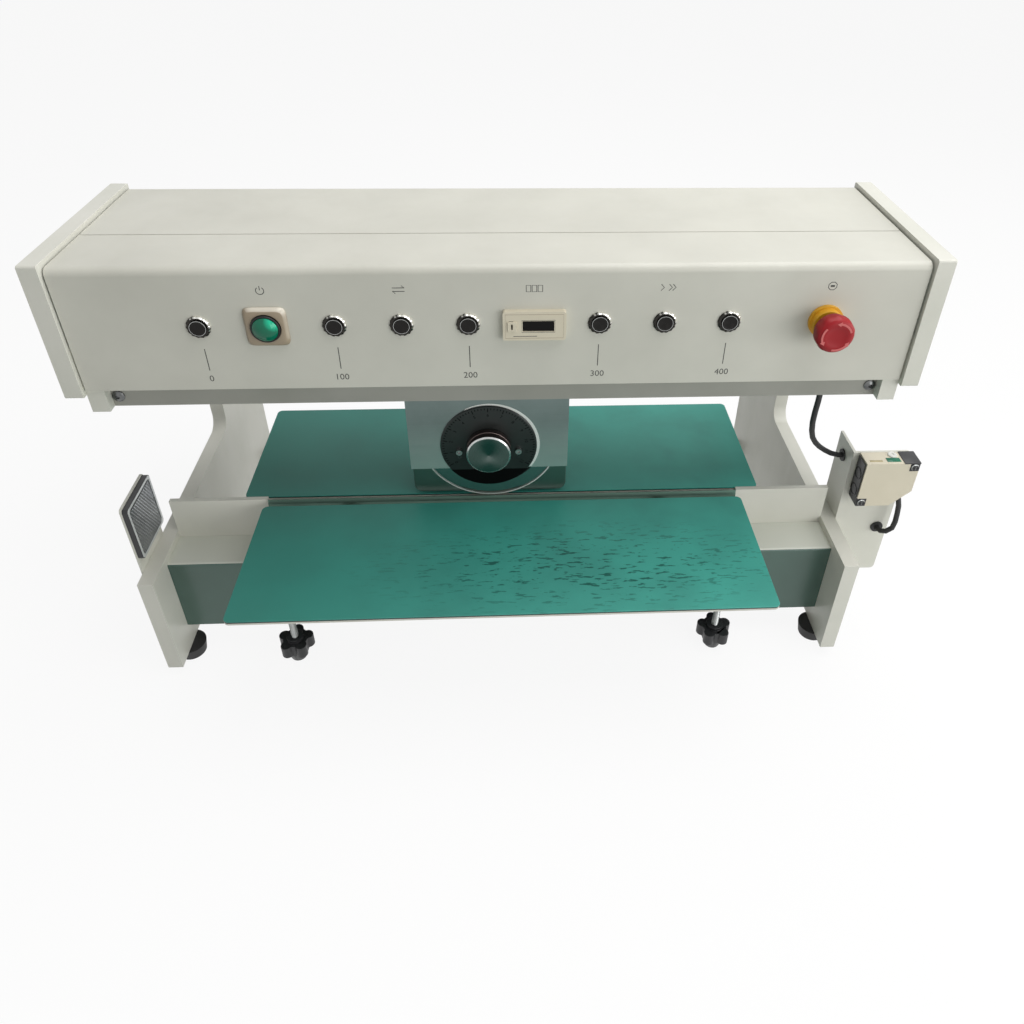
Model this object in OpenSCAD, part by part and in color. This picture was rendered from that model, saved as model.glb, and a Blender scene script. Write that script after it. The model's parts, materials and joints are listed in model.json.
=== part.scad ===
// Bench-top board separator: a free-rolling round blade on a belt-driven carriage
// parts scored boards against a straight blade between two flat platforms.
// X runs along the straight blade, Y from front to back, Z up from the ground.
// Sizes are in millimetres.

/* [Side plates] */
// Clear width between the two C-shaped side plates
inner_w = 622; // [600:2:780]
// Thickness of a side plate
side_t = 14; // [12:1:18]
// Height of the rubber feet
foot_h = 12; // [9:1:20]
// Radius of a rubber foot at its top
foot_r = 15; // [10:1:18]
// Height of the lower arm of a side plate
arm_h = 112; // [98:1:135]
// How far the lower arm reaches in front of the housing face
arm_reach = 23.5; // [10:0.5:60]
// Distance from the housing face to the front of the rear column
column_y = 220; // [215:1:300]
// Depth of the rear column
column_d = 125; // [90:1:160]
// Clear height between the lower and the upper arm
throat_h = 165; // [165:1:200]
// Height of the upper arm
upper_h = 61; // [61:1:75]
// Fillet where the arms meet the column
throat_r = 15; // [5:1:30]

/* [Housing] */
// Thickness of an end plate
end_t = 14; // [8:1:18]
// Depth of the end plates
housing_d = 175; // [175:1:210]
// Height of the end plates
housing_h = 111; // [111:1:140]
// Distance from the underside of the upper arm to the underside of an end plate
end_raise = 16; // [10:1:20]
// Thickness of the cover sheets
cover_t = 2; // [1.2:0.1:2.5]
// Set-back of the front cover from the front of the end plates
cover_set = 3.3; // [2:0.1:5]
// Drop of the covers below the top of the end plates
cover_drop = 3.9; // [2:0.1:6]
// Gap between a cover and an end plate
cover_gap = 1.5; // [0.5:0.1:3]
// Outer bend radius of the covers
cover_r = 6; // [4:0.5:9]
// Distance from the housing face to the seam between the two covers
seam_y = 67; // [50:1:90]

/* [Base] */
// Distance from the housing face to the front of the base beam
base_y = 8; // [4:1:12]
// Depth of the base beam
base_d = 38; // [30:1:42]
// Height of the base beam
base_h = 81; // [65:1:85]
// Step from the top of the lower arm down to the top of the base beam
base_drop = 7; // [4:1:12]
// Wall of the base beam
base_wall = 4; // [3:0.5:6]
// Thickness of the knife bar that stands behind the base beam
knife_bar_t = 4.5; // [4:0.5:6]
// Height of the knife bar above the base beam
knife_bar_rise = 43.5; // [36:0.5:50]
// Width of the notch in the knife bar
notch_w = 442; // [300:2:480]
// Depth of the notch in the knife bar
notch_h = 10.5; // [6:0.5:14]

/* [Platforms] */
// Width of the front platform
front_w = 446; // [300:2:500]
// Depth of the front platform
front_d = 138; // [110:1:180]
// Width of the rear platform
rear_w = 486; // [300:2:540]
// Depth of the rear platform
rear_d = 144; // [100:1:160]
// Thickness of the platform sheets
sheet_t = 2; // [1.5:0.1:3]
// Thickness of the mats
mat_t = 2; // [1.5:0.1:3]
// Corner radius of the platforms
platform_r = 5; // [2:0.5:12]
// Drop from the top of the knife bar to the mats
mat_drop = 0.5; // [0.2:0.1:2]
// Gap between the front platform and the straight blade
front_gap = 5.7; // [3:0.1:10]
// Distance of each platform leg from the middle
leg_x = 207; // [120:1:215]
// Radius of the threaded leg
leg_r = 3.5; // [2.5:0.5:4]
// Distance from the leg to the front of the base beam
leg_off = 11; // [9:1:16]
// Radius of a star foot over its lobes
star_r = 17; // [14:1:20]
// Height of a star foot
star_h = 29; // [24:1:33]

/* [Blades] */
// Diameter of the round blade
blade_d = 125; // [105:1:130]
// Thickness of the round blade
blade_t = 2.6; // [2:0.1:3]
// Thickness of the straight blade
knife_t = 3.3; // [3:0.1:4]
// Height of the straight blade
knife_h = 31.5; // [26:0.5:36]
// Height of the straight blade's edge above the knife bar
knife_rise = 1; // [0.5:0.1:2]
// Gap between the two cutting edges at rest
edge_gap = 1.3; // [1:0.1:3]
// Offset of the eccentric seat that raises and lowers the round blade
eccentric = 1; // [0.4:0.1:1.2]
// Radius of the black clamping flange of the round blade
flange_r = 46.5; // [30:0.5:50]
// Radius of the hub that the round blade sits on
hub_r = 20; // [16:0.5:24]

/* [Carriage] */
// Position of the carriage along the straight blade
carriage_x = -13.6; // [-40:0.1:40]
// Width of the carriage
carriage_w = 141; // [132:1:150]
// Thickness of the carriage front plate
front_plate_t = 3; // [2.5:0.1:4]
// Depth of the carriage head
head_d = 33.5; // [30:0.5:36]
// Gap between the carriage head and the mats
head_gap = 4; // [3:0.1:8]
// Distance from the lower edge of the front plate up to the blade axis
plate_below_axis = 25.3; // [20:0.1:32]
// Radius of the scale plate
scale_r = 42.8; // [34:0.1:46]
// Thickness of the scale plate
scale_t = 2; // [1.5:0.1:3]
// Radius of the height knob
knob_r = 19.5; // [14:0.5:22]
// Length of the height knob
knob_l = 13.3; // [10:0.1:20]

/* [Drive] */
// Width of the linear rail
rail_w = 15; // [12:1:20]
// Height of the linear rail
rail_h = 15; // [12:1:18]
// Radius of the belt pulleys under the belt
pulley_r = 15; // [12:0.5:16]
// Thickness of the belt
belt_t = 1.6; // [1:0.1:2]
// Width of the belt
belt_w = 10; // [6:1:12]
// Distance of each pulley from the middle
pulley_x = 272; // [268:1:275]
// Radius of the gear motor
motor_r = 26; // [20:1:26]

/* [Controls] */
// Distance between neighbouring controls
control_pitch = 50; // [48:1:54]
// Height of the controls above the lower edge of the front cover
control_rise = 55.4; // [48:0.1:60]
// Radius of a push-button bezel
bezel_r = 9.25; // [8.5:0.05:10]
// Radius of a push-button barrel
barrel_r = 8; // [7:0.5:8]
// Radius of a push-button cap
cap_r = 6.2; // [5:0.1:6.4]
// Travel of a push-button cap
cap_travel = 2; // [1:0.5:3]
// Width of the power switch bezel
power_w = 32; // [26:1:36]
// Radius of the power switch lens
lens_r = 9.5; // [7:0.5:10]
// Width of the counter bezel
counter_w = 48; // [40:1:52]
// Height of the counter bezel
counter_h = 24; // [20:1:28]
// Radius of the emergency-stop head
stop_r = 15; // [12:0.5:18]
// Travel of the emergency-stop head
stop_travel = 4; // [2:0.5:5]

/* [Light barrier] */
// Width of the reflector
reflector_w = 52; // [40:1:60]
// Height of the reflector
reflector_h = 56; // [40:1:64]
// Width and height of the sensor
sensor_w = 50; // [40:1:56]
// Depth of the sensor
sensor_d = 18; // [14:1:20]
// Thickness of the bracket sheets
bracket_t = 2.5; // [2:0.1:3]
// Diameter of the sensor cable
cable_d = 5; // [4:0.5:5]

/* [Hidden] */
$fn = 64;

// Clearances
run = 0.05;
slide_gap = 0.1;
loose = 0.3;
seat = 0.2;

// Paint and metal colours
paint = [0.86, 0.87, 0.82];
steel = [0.62, 0.64, 0.65];
alloy = [0.72, 0.74, 0.74];
black = [0.07, 0.07, 0.08];
beige = [0.82, 0.79, 0.68];

// Side plates
side_x = inner_w / 2;
side_out = side_x + side_t;
arm_top = foot_h + arm_h;
upper_z = arm_top + throat_h;
upper_top = upper_z + upper_h;
column_back = column_y + column_d;

// Housing
end_z = upper_z + end_raise;
end_top = end_z + housing_h;
cover_w = 2 * (side_out - cover_gap);
cover_z = end_z + 5;
cover_top = end_top - cover_drop;
cover_in = cover_set + cover_t;
arm_tip = cover_in + seat;

// Base beam, knife bar and straight blade
base_top = arm_top - base_drop;
base_bottom = base_top - base_h;
knife_bar_y = base_y + base_d;
knife_bar_back = knife_bar_y + knife_bar_t;
knife_bar_top = base_top + knife_bar_rise;
knife_y = knife_bar_y - knife_t;
knife_tip = knife_bar_top + knife_rise;
knife_l = notch_w - 2;
knife_screw_z = knife_tip - knife_h + 9;
knife_screws = [for (i = [-2 : 2]) i * knife_l / 5];
cut_y = knife_y + knife_t / 2;

// Platforms
mat_top = knife_bar_top - mat_drop;
sheet_top = mat_top - mat_t;
sheet_under = sheet_top - sheet_t;
front_back = knife_y - front_gap;
front_front = front_back - front_d;
rear_front = knife_bar_back + seat;
leg_y = base_y - leg_off;

// Round blade, its axle and the carriage
axis_z = knife_tip + edge_gap + blade_d / 2;
blade_y = cut_y - blade_t / 2;
flange_t = 1.8;
bearing_w = 5;
bearing_in = 8.5;
bearing_out = 13;
journal_r = 7;
rear_journal_r = 10;
stub_r = 5;
plate_back = blade_y - flange_t - 0.7;
plate_y = plate_back - front_plate_t;
plate_z = axis_z - plate_below_axis;
head_y = blade_y + blade_t + 3.1;
head_back = head_y + head_d;
head_z = mat_top + head_gap;
head_top = upper_z + 42;
blade_top = axis_z + blade_d / 2 + eccentric;
scale_y = plate_y - scale_t;
knob_y = scale_y - seat - knob_l;
scale_screw_x = 26.3;
scale_screw_z = axis_z - 4.5;
seat_x = carriage_x + eccentric;

// Front beam, guide beam, rail and belt drive
beam_y = 14;
beam_d = 20;
beam_h = 38;
beam_wall = 3;
beam_pad = 15;
beam_screw_x = side_x - 5.4;
beam_screw_z = upper_z + 9.5;
block_d = 23.5;
rail_gap = 0.5;
guide_y = head_back + block_d + 4.5;
guide_d = 50;
guide_z = upper_z + 3;
guide_h = 56;
guide_top = guide_z + guide_h;
guide_wall = 5;
guide_pad = 12;
rail_z = guide_z + guide_h / 2;
rail_y = guide_y - rail_h;
block_l = 60;
block_h = 34;
block_x = 35;
pulley_z = guide_top + 30;
belt_y = head_back + 4;
belt_back = belt_y + belt_w;
bracket_y = belt_back + 3;
bracket_plate_t = 4;
shaft_r = 4;
motor_y = bracket_y + bracket_plate_t;
motor_l = 66;
tray_z = guide_top + cover_t;

// Mains inlet in the rear cover
inlet_x = -260;
inlet_z = guide_top + 18;

// Controls on the front cover
control_z = cover_z + control_rise;
first_x = -4.5 * control_pitch;
function control_x(i) = first_x + i * control_pitch;
button_slots = [0, 2, 3, 4, 6, 7, 8];
power_x = control_x(1);
counter_x = control_x(5);
stop_x = control_x(9.5);
barrel_end = cover_set + 27;
cap_end = cover_set + 15;

// Light barrier
holder_x = side_out;
reflector_t = 5;
reflector_y = 19;
reflector_z = 167;
sensor_x = side_out + 6;
sensor_y = knife_y + 0.3;
sensor_z = 155;
flange_x = side_out + 55;
flange_z = [54, 205];
wing_y = sensor_y + 35;
cable_r = cable_d / 2;
grommet_r = 4.5;
// Places where the cable passes a sheet
beam_hole = [270, 24, upper_z];
wing_hole = [side_out, 62, 188];
flange_hole = [369, sensor_y, 112];
// Route of the cable from the beam to the sensor, as points chosen by hand
cable_route = [
    [270, 24, 292], [270, 24, 286], [270, 24, 276], [270, 25, 264], [271, 27, 252],
    [274, 31, 240], [279, 37, 228], [286, 44, 217], [294, 51, 207], [303, 57, 198],
    [312, 61, 191], [320, 62, 188], [326, 62, 188], [332, 62, 187], [339, 61, 182],
    [345, 60, 174], [350, 59, 164], [355, 58, 152], [360, 57, 140], [364, 56, 128],
    [367, 54, 118], [369, 50, 112], [369, 45, 112], [369, 40, 112], [370, 35, 113],
    [373, 31, 116], [377, 29, 122], [378, 29, 130], [378, 30, 139], [378, 32, 148],
    [376, 33, 156], [374, 34, 161], [372, 34, 164]
];

// The origin is under the middle of the whole object
part_x_hi = max(flange_x, sensor_x + sensor_w);
part_x_lo = -(side_out + end_t);
part_y = (front_front + column_back) / 2;
origin_shift = [-(part_x_hi + part_x_lo) / 2, -part_y, 0];

module placed() {
    translate(origin_shift) children();
}

// A box between two corners
module span(lo, hi) {
    translate(lo) cube(hi - lo);
}

// A cylinder along Y at x, z from y0 to y1
module along_y(x, z, y0, y1, r) {
    translate([x, y0, z]) rotate([-90, 0, 0]) cylinder(h = y1 - y0, r = r);
}

// A cylinder along X at y, z from x0 to x1
module along_x(y, z, x0, x1, r) {
    translate([x0, y, z]) rotate([0, 90, 0]) cylinder(h = x1 - x0, r = r);
}

// A flat shape drawn in Y and Z, made thick along X
module plate_yz(x0, t) {
    translate([x0, 0, 0]) rotate([90, 0, 90]) linear_extrude(t) children();
}

// A flat shape drawn in X and Z, made thick along Y
module plate_xz(y0, t) {
    translate([0, y0 + t, 0]) rotate([90, 0, 0]) linear_extrude(t) children();
}

// A turned shape drawn as radius and depth, about an axis along Y
module turned_y(x, z, y0) {
    translate([x, y0, z]) rotate([-90, 0, 0]) rotate_extrude() children();
}

// A flat rectangle with round corners between two corners
module round_rect(lo, hi, r) {
    translate([lo[0] + r, lo[1]]) square([hi[0] - lo[0] - 2 * r, hi[1] - lo[1]]);
    translate([lo[0], lo[1] + r]) square([hi[0] - lo[0], hi[1] - lo[1] - 2 * r]);
    for (x = [lo[0] + r, hi[0] - r]) {
        for (y = [lo[1] + r, hi[1] - r]) {
            translate([x, y]) circle(r);
        }
    }
}

// A flat rectangle between two corners
module rect(lo, hi) {
    translate(lo) square(hi - lo);
}

// The flat stock that rounds an inside corner, s gives the two directions
module inside_fillet(corner, s, r) {
    translate(corner) scale([s[0], s[1]]) difference() {
        square(r);
        translate([r, r]) circle(r);
    }
}

// Side plates ------------------------------------------------------------

// Screws through the side plates, as Y and Z of each
side_screws = [
    [base_y + base_d / 2, base_bottom + 18],
    [base_y + base_d / 2, base_top - 18],
    [guide_y + 9, rail_z - 14],
    [guide_y + 9, rail_z + 14],
    [guide_y + 35, rail_z]
];
// Screws that hold the end plates to the upper arms, as Y and Z of each
end_screws = [[34, upper_top - 24], [150, upper_top - 24]];
head_r = 6.5;
head_h = 8;
shank_r = 4;

module side_outline() {
    rect([-arm_reach, foot_h], [column_back, arm_top]);
    rect([column_y, foot_h], [column_back, upper_top]);
    rect([arm_tip, upper_z], [column_back, upper_top]);
    inside_fillet([column_y, arm_top], [-1, 1], throat_r);
    inside_fillet([column_y, upper_z], [-1, -1], throat_r);
}

module side_plate(side) {
    x0 = side > 0 ? side_x : -side_out;
    difference() {
        plate_yz(x0, side_t) side_outline();
        for (p = side_screws) {
            along_x(p[0], p[1], x0 - 1, x0 + side_t + 1, shank_r + slide_gap);
            head_x = side > 0 ? side_out - head_h : -side_out - 1;
            along_x(p[0], p[1], head_x, head_x + head_h + 1, head_r + loose);
        }
        for (p = end_screws) {
            along_x(p[0], p[1], x0 - 1, x0 + side_t + 1, shank_r - 1);
        }
    }
}

module side_plate_left() {
    color(paint) side_plate(-1);
}

module side_plate_right() {
    color(paint) side_plate(1);
}

module rubber_feet() {
    color(black) {
        for (x = [-1, 1]) {
            for (y = [-arm_reach + 31.5, column_back - 30]) {
                translate([x * (side_x + 3), y, 0]) {
                    cylinder(h = foot_h, r1 = foot_r - 2, r2 = foot_r);
                }
            }
        }
    }
}

// A socket-head screw along X with its head outwards on the given side
module side_screw(side, y, z, face, head, shank, length, socket) {
    translate([side * face, y, z]) rotate([0, side * 90, 0]) difference() {
        union() {
            translate([0, 0, -head[1]]) cylinder(h = head[1], r = head[0]);
            translate([0, 0, -head[1] - length]) cylinder(h = length, r = shank);
        }
        translate([0, 0, -head[1] / 2]) cylinder(h = head[1], r = socket, $fn = 6);
    }
}

module frame_screws() {
    color(black) {
        for (side = [-1, 1]) {
            for (p = side_screws) {
                side_screw(side, p[0], p[1], side_out - 0.5, [head_r, head_h - 0.5],
                    shank_r, 16, 3.4);
            }
            for (p = end_screws) {
                side_screw(side, p[0], p[1], side_out + end_t - 0.5, [5, 5],
                    shank_r - 1.2, 18, 2.6);
            }
            // Button-head screw near each end of the front beam
            translate([side * beam_screw_x, beam_y, beam_screw_z]) rotate([90, 0, 0]) {
                difference() {
                    button_head(4.9, 2.6);
                    translate([0, 0, 1]) cylinder(h = 3, r = 1.9, $fn = 6);
                }
            }
        }
        for (x = knife_screws) {
            along_y(x, knife_screw_z, knife_y + 0.2, knife_y + 1.9, 4.2);
            along_y(x, knife_screw_z, knife_y + 1.9, knife_bar_back, 2.45);
        }
    }
}

// A low domed head that stands on z = 0
module button_head(r, h) {
    rotate_extrude() difference() {
        intersection() {
            square([r, h]);
            translate([0, h - r * 1.55]) circle(r * 1.55);
        }
        translate([-r, -r]) square([r, 3 * r]);
    }
}

// Base ---------------------------------------------------------------------

// A channel along X with closed ends, open on the side that the pocket leaves
module channel(x, pad, lo, hi, pocket_lo, pocket_hi) {
    difference() {
        span([-x, lo[0], lo[1]], [x, hi[0], hi[1]]);
        span([-x + pad, pocket_lo[0], pocket_lo[1]], [x - pad, pocket_hi[0], pocket_hi[1]]);
    }
}

module base_beam() {
    pad = 12;
    edge_r = 3;
    color(paint) difference() {
        plate_yz(-side_x, inner_w) {
            rect([base_y, base_bottom], [base_y + base_d, base_top - edge_r]);
            rect([base_y + edge_r, base_bottom], [base_y + base_d, base_top]);
            translate([base_y + edge_r, base_top - edge_r]) circle(edge_r);
        }
        span([-side_x + pad, base_y + base_wall, base_bottom - 1],
            [side_x - pad, base_y + base_d - base_wall, base_top - base_wall]);
        for (p = [side_screws[0], side_screws[1]]) {
            along_x(p[0], p[1], -side_x - 1, -side_x + 11, shank_r + run);
            along_x(p[0], p[1], side_x - 11, side_x + 1, shank_r + run);
        }
    }
}

module knife_bar() {
    color(paint) difference() {
        plate_xz(knife_bar_y, knife_bar_t) difference() {
            rect([-side_x, base_bottom], [side_x, knife_bar_top]);
            rect([-notch_w / 2, knife_bar_top - notch_h], [notch_w / 2, knife_bar_top + 1]);
        }
        for (x = knife_screws) {
            along_y(x, knife_screw_z, knife_bar_y - 1, knife_bar_back + 1, 2.5);
        }
    }
}

module linear_blade() {
    bevel = 4;
    land = 0.2;
    base_z = knife_tip - knife_h;
    mid = knife_t / 2;
    color(steel) difference() {
        plate_yz(-knife_l / 2, knife_l) translate([knife_y, base_z]) polygon([
            [0, 0], [knife_t, 0], [knife_t, knife_h - bevel], [mid + land, knife_h],
            [mid - land, knife_h], [0, knife_h - bevel]
        ]);
        for (x = knife_screws) {
            along_y(x, knife_screw_z, knife_y - 1, knife_y + 1.9, 4.4);
            along_y(x, knife_screw_z, knife_y + 1, knife_bar_y + 1, 2.6);
        }
    }
}

// Platforms ----------------------------------------------------------------

// Both platform outlines at one level
module platforms(z, t) {
    translate([0, 0, z]) linear_extrude(t) {
        round_rect([-front_w / 2, front_front], [front_w / 2, front_back], platform_r);
    }
    translate([0, 0, z]) linear_extrude(t) {
        round_rect([-rear_w / 2, rear_front], [rear_w / 2, rear_front + rear_d], platform_r);
    }
}

module platform_plates() {
    color(paint) platforms(sheet_under, sheet_t);
}

module platform_mats() {
    color([0.22, 0.49, 0.45]) platforms(sheet_top, mat_t);
}

module platform_supports() {
    post_x = front_w / 3;
    gusset_x = rear_w / 3;
    gusset_t = 6;
    gusset_d = rear_d - 14;
    gusset_h = 80;
    color(paint) {
        for (x = [-post_x, post_x]) {
            translate([x, base_y + base_d / 2 - 4, base_top]) {
                cylinder(h = sheet_under - base_top, r = 6);
            }
        }
        for (x = [-gusset_x, gusset_x]) {
            plate_yz(x - gusset_t / 2, gusset_t) translate([knife_bar_back, sheet_under]) {
                polygon([
                    [0, 0], [gusset_d, 0], [gusset_d, -10], [10, -gusset_h], [0, -gusset_h]
                ]);
            }
        }
    }
}

module platform_legs() {
    nut_h = 5;
    color(steel) {
        for (x = [-leg_x, leg_x]) {
            translate([x, leg_y, 8]) cylinder(h = sheet_under - 8 - nut_h, r = leg_r);
            translate([x, leg_y, sheet_under - nut_h]) cylinder(h = nut_h, r = 6.5, $fn = 6);
        }
    }
}

// A foot with five lobes on a tapered hub, bored from above for the leg
module star_foot(x) {
    lobes = 5;
    lobe_r = 5.5;
    web_z = 13;
    hub_top_r = 8;
    color(black) translate([x, leg_y, 0]) difference() {
        union() {
            translate([0, 0, 0.2]) cylinder(h = web_z - 0.2, r1 = 7.5, r2 = 12);
            translate([0, 0, web_z]) linear_extrude(star_h - web_z - 3) {
                circle(12);
                for (i = [0 : lobes - 1]) {
                    rotate(i * 360 / lobes + 18) {
                        translate([star_r - lobe_r, 0]) circle(lobe_r);
                        translate([0, -lobe_r]) square([star_r - lobe_r, 2 * lobe_r]);
                    }
                }
            }
            translate([0, 0, star_h - 3]) cylinder(h = 3, r = hub_top_r);
        }
        translate([0, 0, 6]) cylinder(h = star_h, r = leg_r + run);
    }
}

module star_foot_left() {
    star_foot(-leg_x);
}

module star_foot_right() {
    star_foot(leg_x);
}

// Beams, rail and drive ------------------------------------------------------

module front_beam() {
    y1 = beam_y + beam_d;
    z1 = upper_z + beam_h;
    color(paint) difference() {
        channel(side_x, beam_pad, [beam_y, upper_z], [y1, z1],
            [beam_y + beam_wall, upper_z + beam_wall], [y1 + 1, z1 - beam_wall]);
        translate([beam_hole[0], beam_hole[1], upper_z - 1]) {
            cylinder(h = beam_wall + 2, r = grommet_r);
        }
    }
}

module guide_beam() {
    y1 = guide_y + guide_d;
    color(alloy) difference() {
        channel(side_x, guide_pad, [guide_y, guide_z], [y1, guide_top],
            [guide_y + guide_wall, guide_z + guide_wall], [y1 + 1, guide_top - guide_wall]);
        for (p = [side_screws[2], side_screws[3], side_screws[4]]) {
            along_x(p[0], p[1], -side_x - 1, -side_x + 11, shank_r + run);
            along_x(p[0], p[1], side_x - 11, side_x + 1, shank_r + run);
        }
    }
}

// The rail section with its side grooves, drawn in Y and Z
module rail_section(grow) {
    w = rail_w / 2 + grow;
    waist = 1.5;
    difference() {
        rect([rail_y - grow, rail_z - w], [guide_y, rail_z + w]);
        for (s = [-1, 1]) {
            translate([rail_y + rail_h * 0.45, rail_z + s * (w + waist)]) circle(3);
        }
    }
}

module linear_rail() {
    rail_l = inner_w - 22;
    color(steel) plate_yz(-rail_l / 2, rail_l) rail_section(0);
}

module belt_brackets() {
    w = 32;
    foot_d = 32;
    color(alloy) {
        for (s = [-1, 1]) {
            difference() {
                union() {
                    span([s * pulley_x - w, bracket_y, guide_top],
                        [s * pulley_x + w, bracket_y + bracket_plate_t, pulley_z + motor_r]);
                    span([s * pulley_x - w, bracket_y, guide_top],
                        [s * pulley_x + w, bracket_y + foot_d, guide_top + 3]);
                }
                along_y(s * pulley_x, pulley_z, bracket_y - 1,
                    bracket_y + bracket_plate_t + 1, s > 0 ? shaft_r + 2 : shaft_r);
            }
        }
        // Fixed axle of the idler pulley
        along_y(-pulley_x, pulley_z, belt_y - 4, bracket_y + bracket_plate_t + 4, shaft_r);
    }
}

module motor() {
    gearbox = 26;
    color([0.25, 0.26, 0.28]) difference() {
        union() {
            along_y(pulley_x, pulley_z, motor_y, motor_y + gearbox, motor_r);
            along_y(pulley_x, pulley_z, motor_y + gearbox, motor_y + motor_l, motor_r - 3);
        }
        along_y(pulley_x, pulley_z, motor_y - 1, motor_y + 9, shaft_r + slide_gap);
    }
}

// A pulley with two flanges, drawn as radius and depth
module pulley_section(bore) {
    flange_h = 1.5;
    rim = pulley_r - slide_gap;
    difference() {
        union() {
            rect([0, -flange_h], [rim, belt_w + flange_h]);
            rect([0, -flange_h], [pulley_r + 3, -0.2]);
            rect([0, belt_w + 0.2], [pulley_r + 3, belt_w + flange_h]);
        }
        rect([-1, -5], [bore, belt_w + 5]);
    }
}

module drive_pulley() {
    color(alloy) {
        turned_y(pulley_x, pulley_z, belt_y) pulley_section(shaft_r);
        along_y(pulley_x, pulley_z, belt_y - 3, motor_y + 8, shaft_r);
    }
}

module idler_pulley() {
    color(alloy) turned_y(-pulley_x, pulley_z, belt_y) pulley_section(shaft_r + run);
}

// The outline of the belt loop at a distance from the pulley surface
module loop_outline(grow) {
    r = pulley_r + grow;
    rect([-pulley_x, pulley_z - r], [pulley_x, pulley_z + r]);
    for (x = [-pulley_x, pulley_x]) {
        translate([x, pulley_z]) circle(r);
    }
}

module drive_belt() {
    color(black) plate_xz(belt_y, belt_w) difference() {
        loop_outline(belt_t);
        loop_outline(0);
    }
}

module control_electronics() {
    tray = [[-214, guide_y - 8], [226, guide_y + guide_d + 8]];
    supply = [[-206, guide_y - 6], [-76, guide_y + guide_d + 6]];
    board = [[-50, guide_y - 4], [130, guide_y + guide_d + 4]];
    board_z = tray_z + 8;
    board_t = 1.6;
    color([0.6, 0.62, 0.62]) {
        span([tray[0][0], tray[0][1], guide_top], [tray[1][0], tray[1][1], tray_z]);
        span([supply[0][0], supply[0][1], tray_z], [supply[1][0], supply[1][1], tray_z + 34]);
    }
    color([0.1, 0.35, 0.22]) {
        difference() {
            span([board[0][0], board[0][1], board_z],
                [board[1][0], board[1][1], board_z + board_t]);
            for (x = [board[0][0] + 5, board[1][0] - 5]) {
                for (y = [board[0][1] + 5, board[1][1] - 5]) {
                    translate([x, y, board_z - 1]) cylinder(h = 4, r = 1.6);
                }
            }
        }
    }
    color(steel) {
        for (x = [board[0][0] + 5, board[1][0] - 5]) {
            for (y = [board[0][1] + 5, board[1][1] - 5]) {
                translate([x, y, tray_z]) cylinder(h = board_z - tray_z, r = 3);
            }
        }
    }
    // Row of relays and a driver block
    color(black) {
        for (i = [0 : 4]) {
            translate([board[0][0] + 14 + i * 20, board[0][1] + 8, board_z + board_t]) {
                cube([15, 19, 15]);
            }
        }
        translate([board[1][0] - 56, board[0][1] + 8, board_z + board_t]) cube([42, 40, 12]);
    }
}

// Housing --------------------------------------------------------------------

module end_plates() {
    r = 2;
    color(paint) {
        for (side = [-1, 1]) {
            x0 = side > 0 ? side_out : -side_out - end_t;
            difference() {
                plate_yz(x0, end_t) round_rect([0, end_z], [housing_d, end_top], r);
                for (p = end_screws) {
                    along_x(p[0], p[1], x0 - 1, x0 + end_t + 1, shank_r - 1);
                    head_x = side > 0 ? side_out + end_t - 6 : -side_out - end_t - 1;
                    along_x(p[0], p[1], head_x, head_x + 7, 5 + loose);
                }
            }
        }
    }
}

// A sheet that comes up the front and bends back over the top, drawn in Y and Z
module bent_front(y0, z0, y1, z1, t, r) {
    difference() {
        union() {
            rect([y0, z0], [y0 + r, z1 - r]);
            rect([y0 + r, z0], [y1, z1]);
            translate([y0 + r, z1 - r]) circle(r);
        }
        rect([y0 + t, z0 - 1], [y1 + 1, z1 - r]);
        rect([y0 + r, z0 - 1], [y1 + 1, z1 - t]);
        translate([y0 + r, z1 - r]) circle(r - t);
    }
}

module front_cover() {
    lip_w = inner_w - 1;
    color(paint) difference() {
        union() {
            plate_yz(-cover_w / 2, cover_w) {
                bent_front(cover_set, cover_z, seam_y - 0.4, cover_top, cover_t, cover_r);
            }
            span([-lip_w / 2, cover_set, cover_z],
                [lip_w / 2, beam_y - seat, cover_z + cover_t]);
        }
        for (i = button_slots) {
            along_y(control_x(i), control_z, cover_set - 1, cover_in + 1, barrel_r + run);
        }
        along_y(power_x, control_z, cover_set - 1, cover_in + 1, 11.05);
        along_y(stop_x, control_z, cover_set - 1, cover_in + 1, barrel_r + run);
        span([counter_x - counter_w / 2 + 2, cover_set - 1, control_z - counter_h / 2 + 1.5],
            [counter_x + counter_w / 2 - 2, cover_in + 1, control_z + counter_h / 2 - 1.5]);
    }
}

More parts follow.
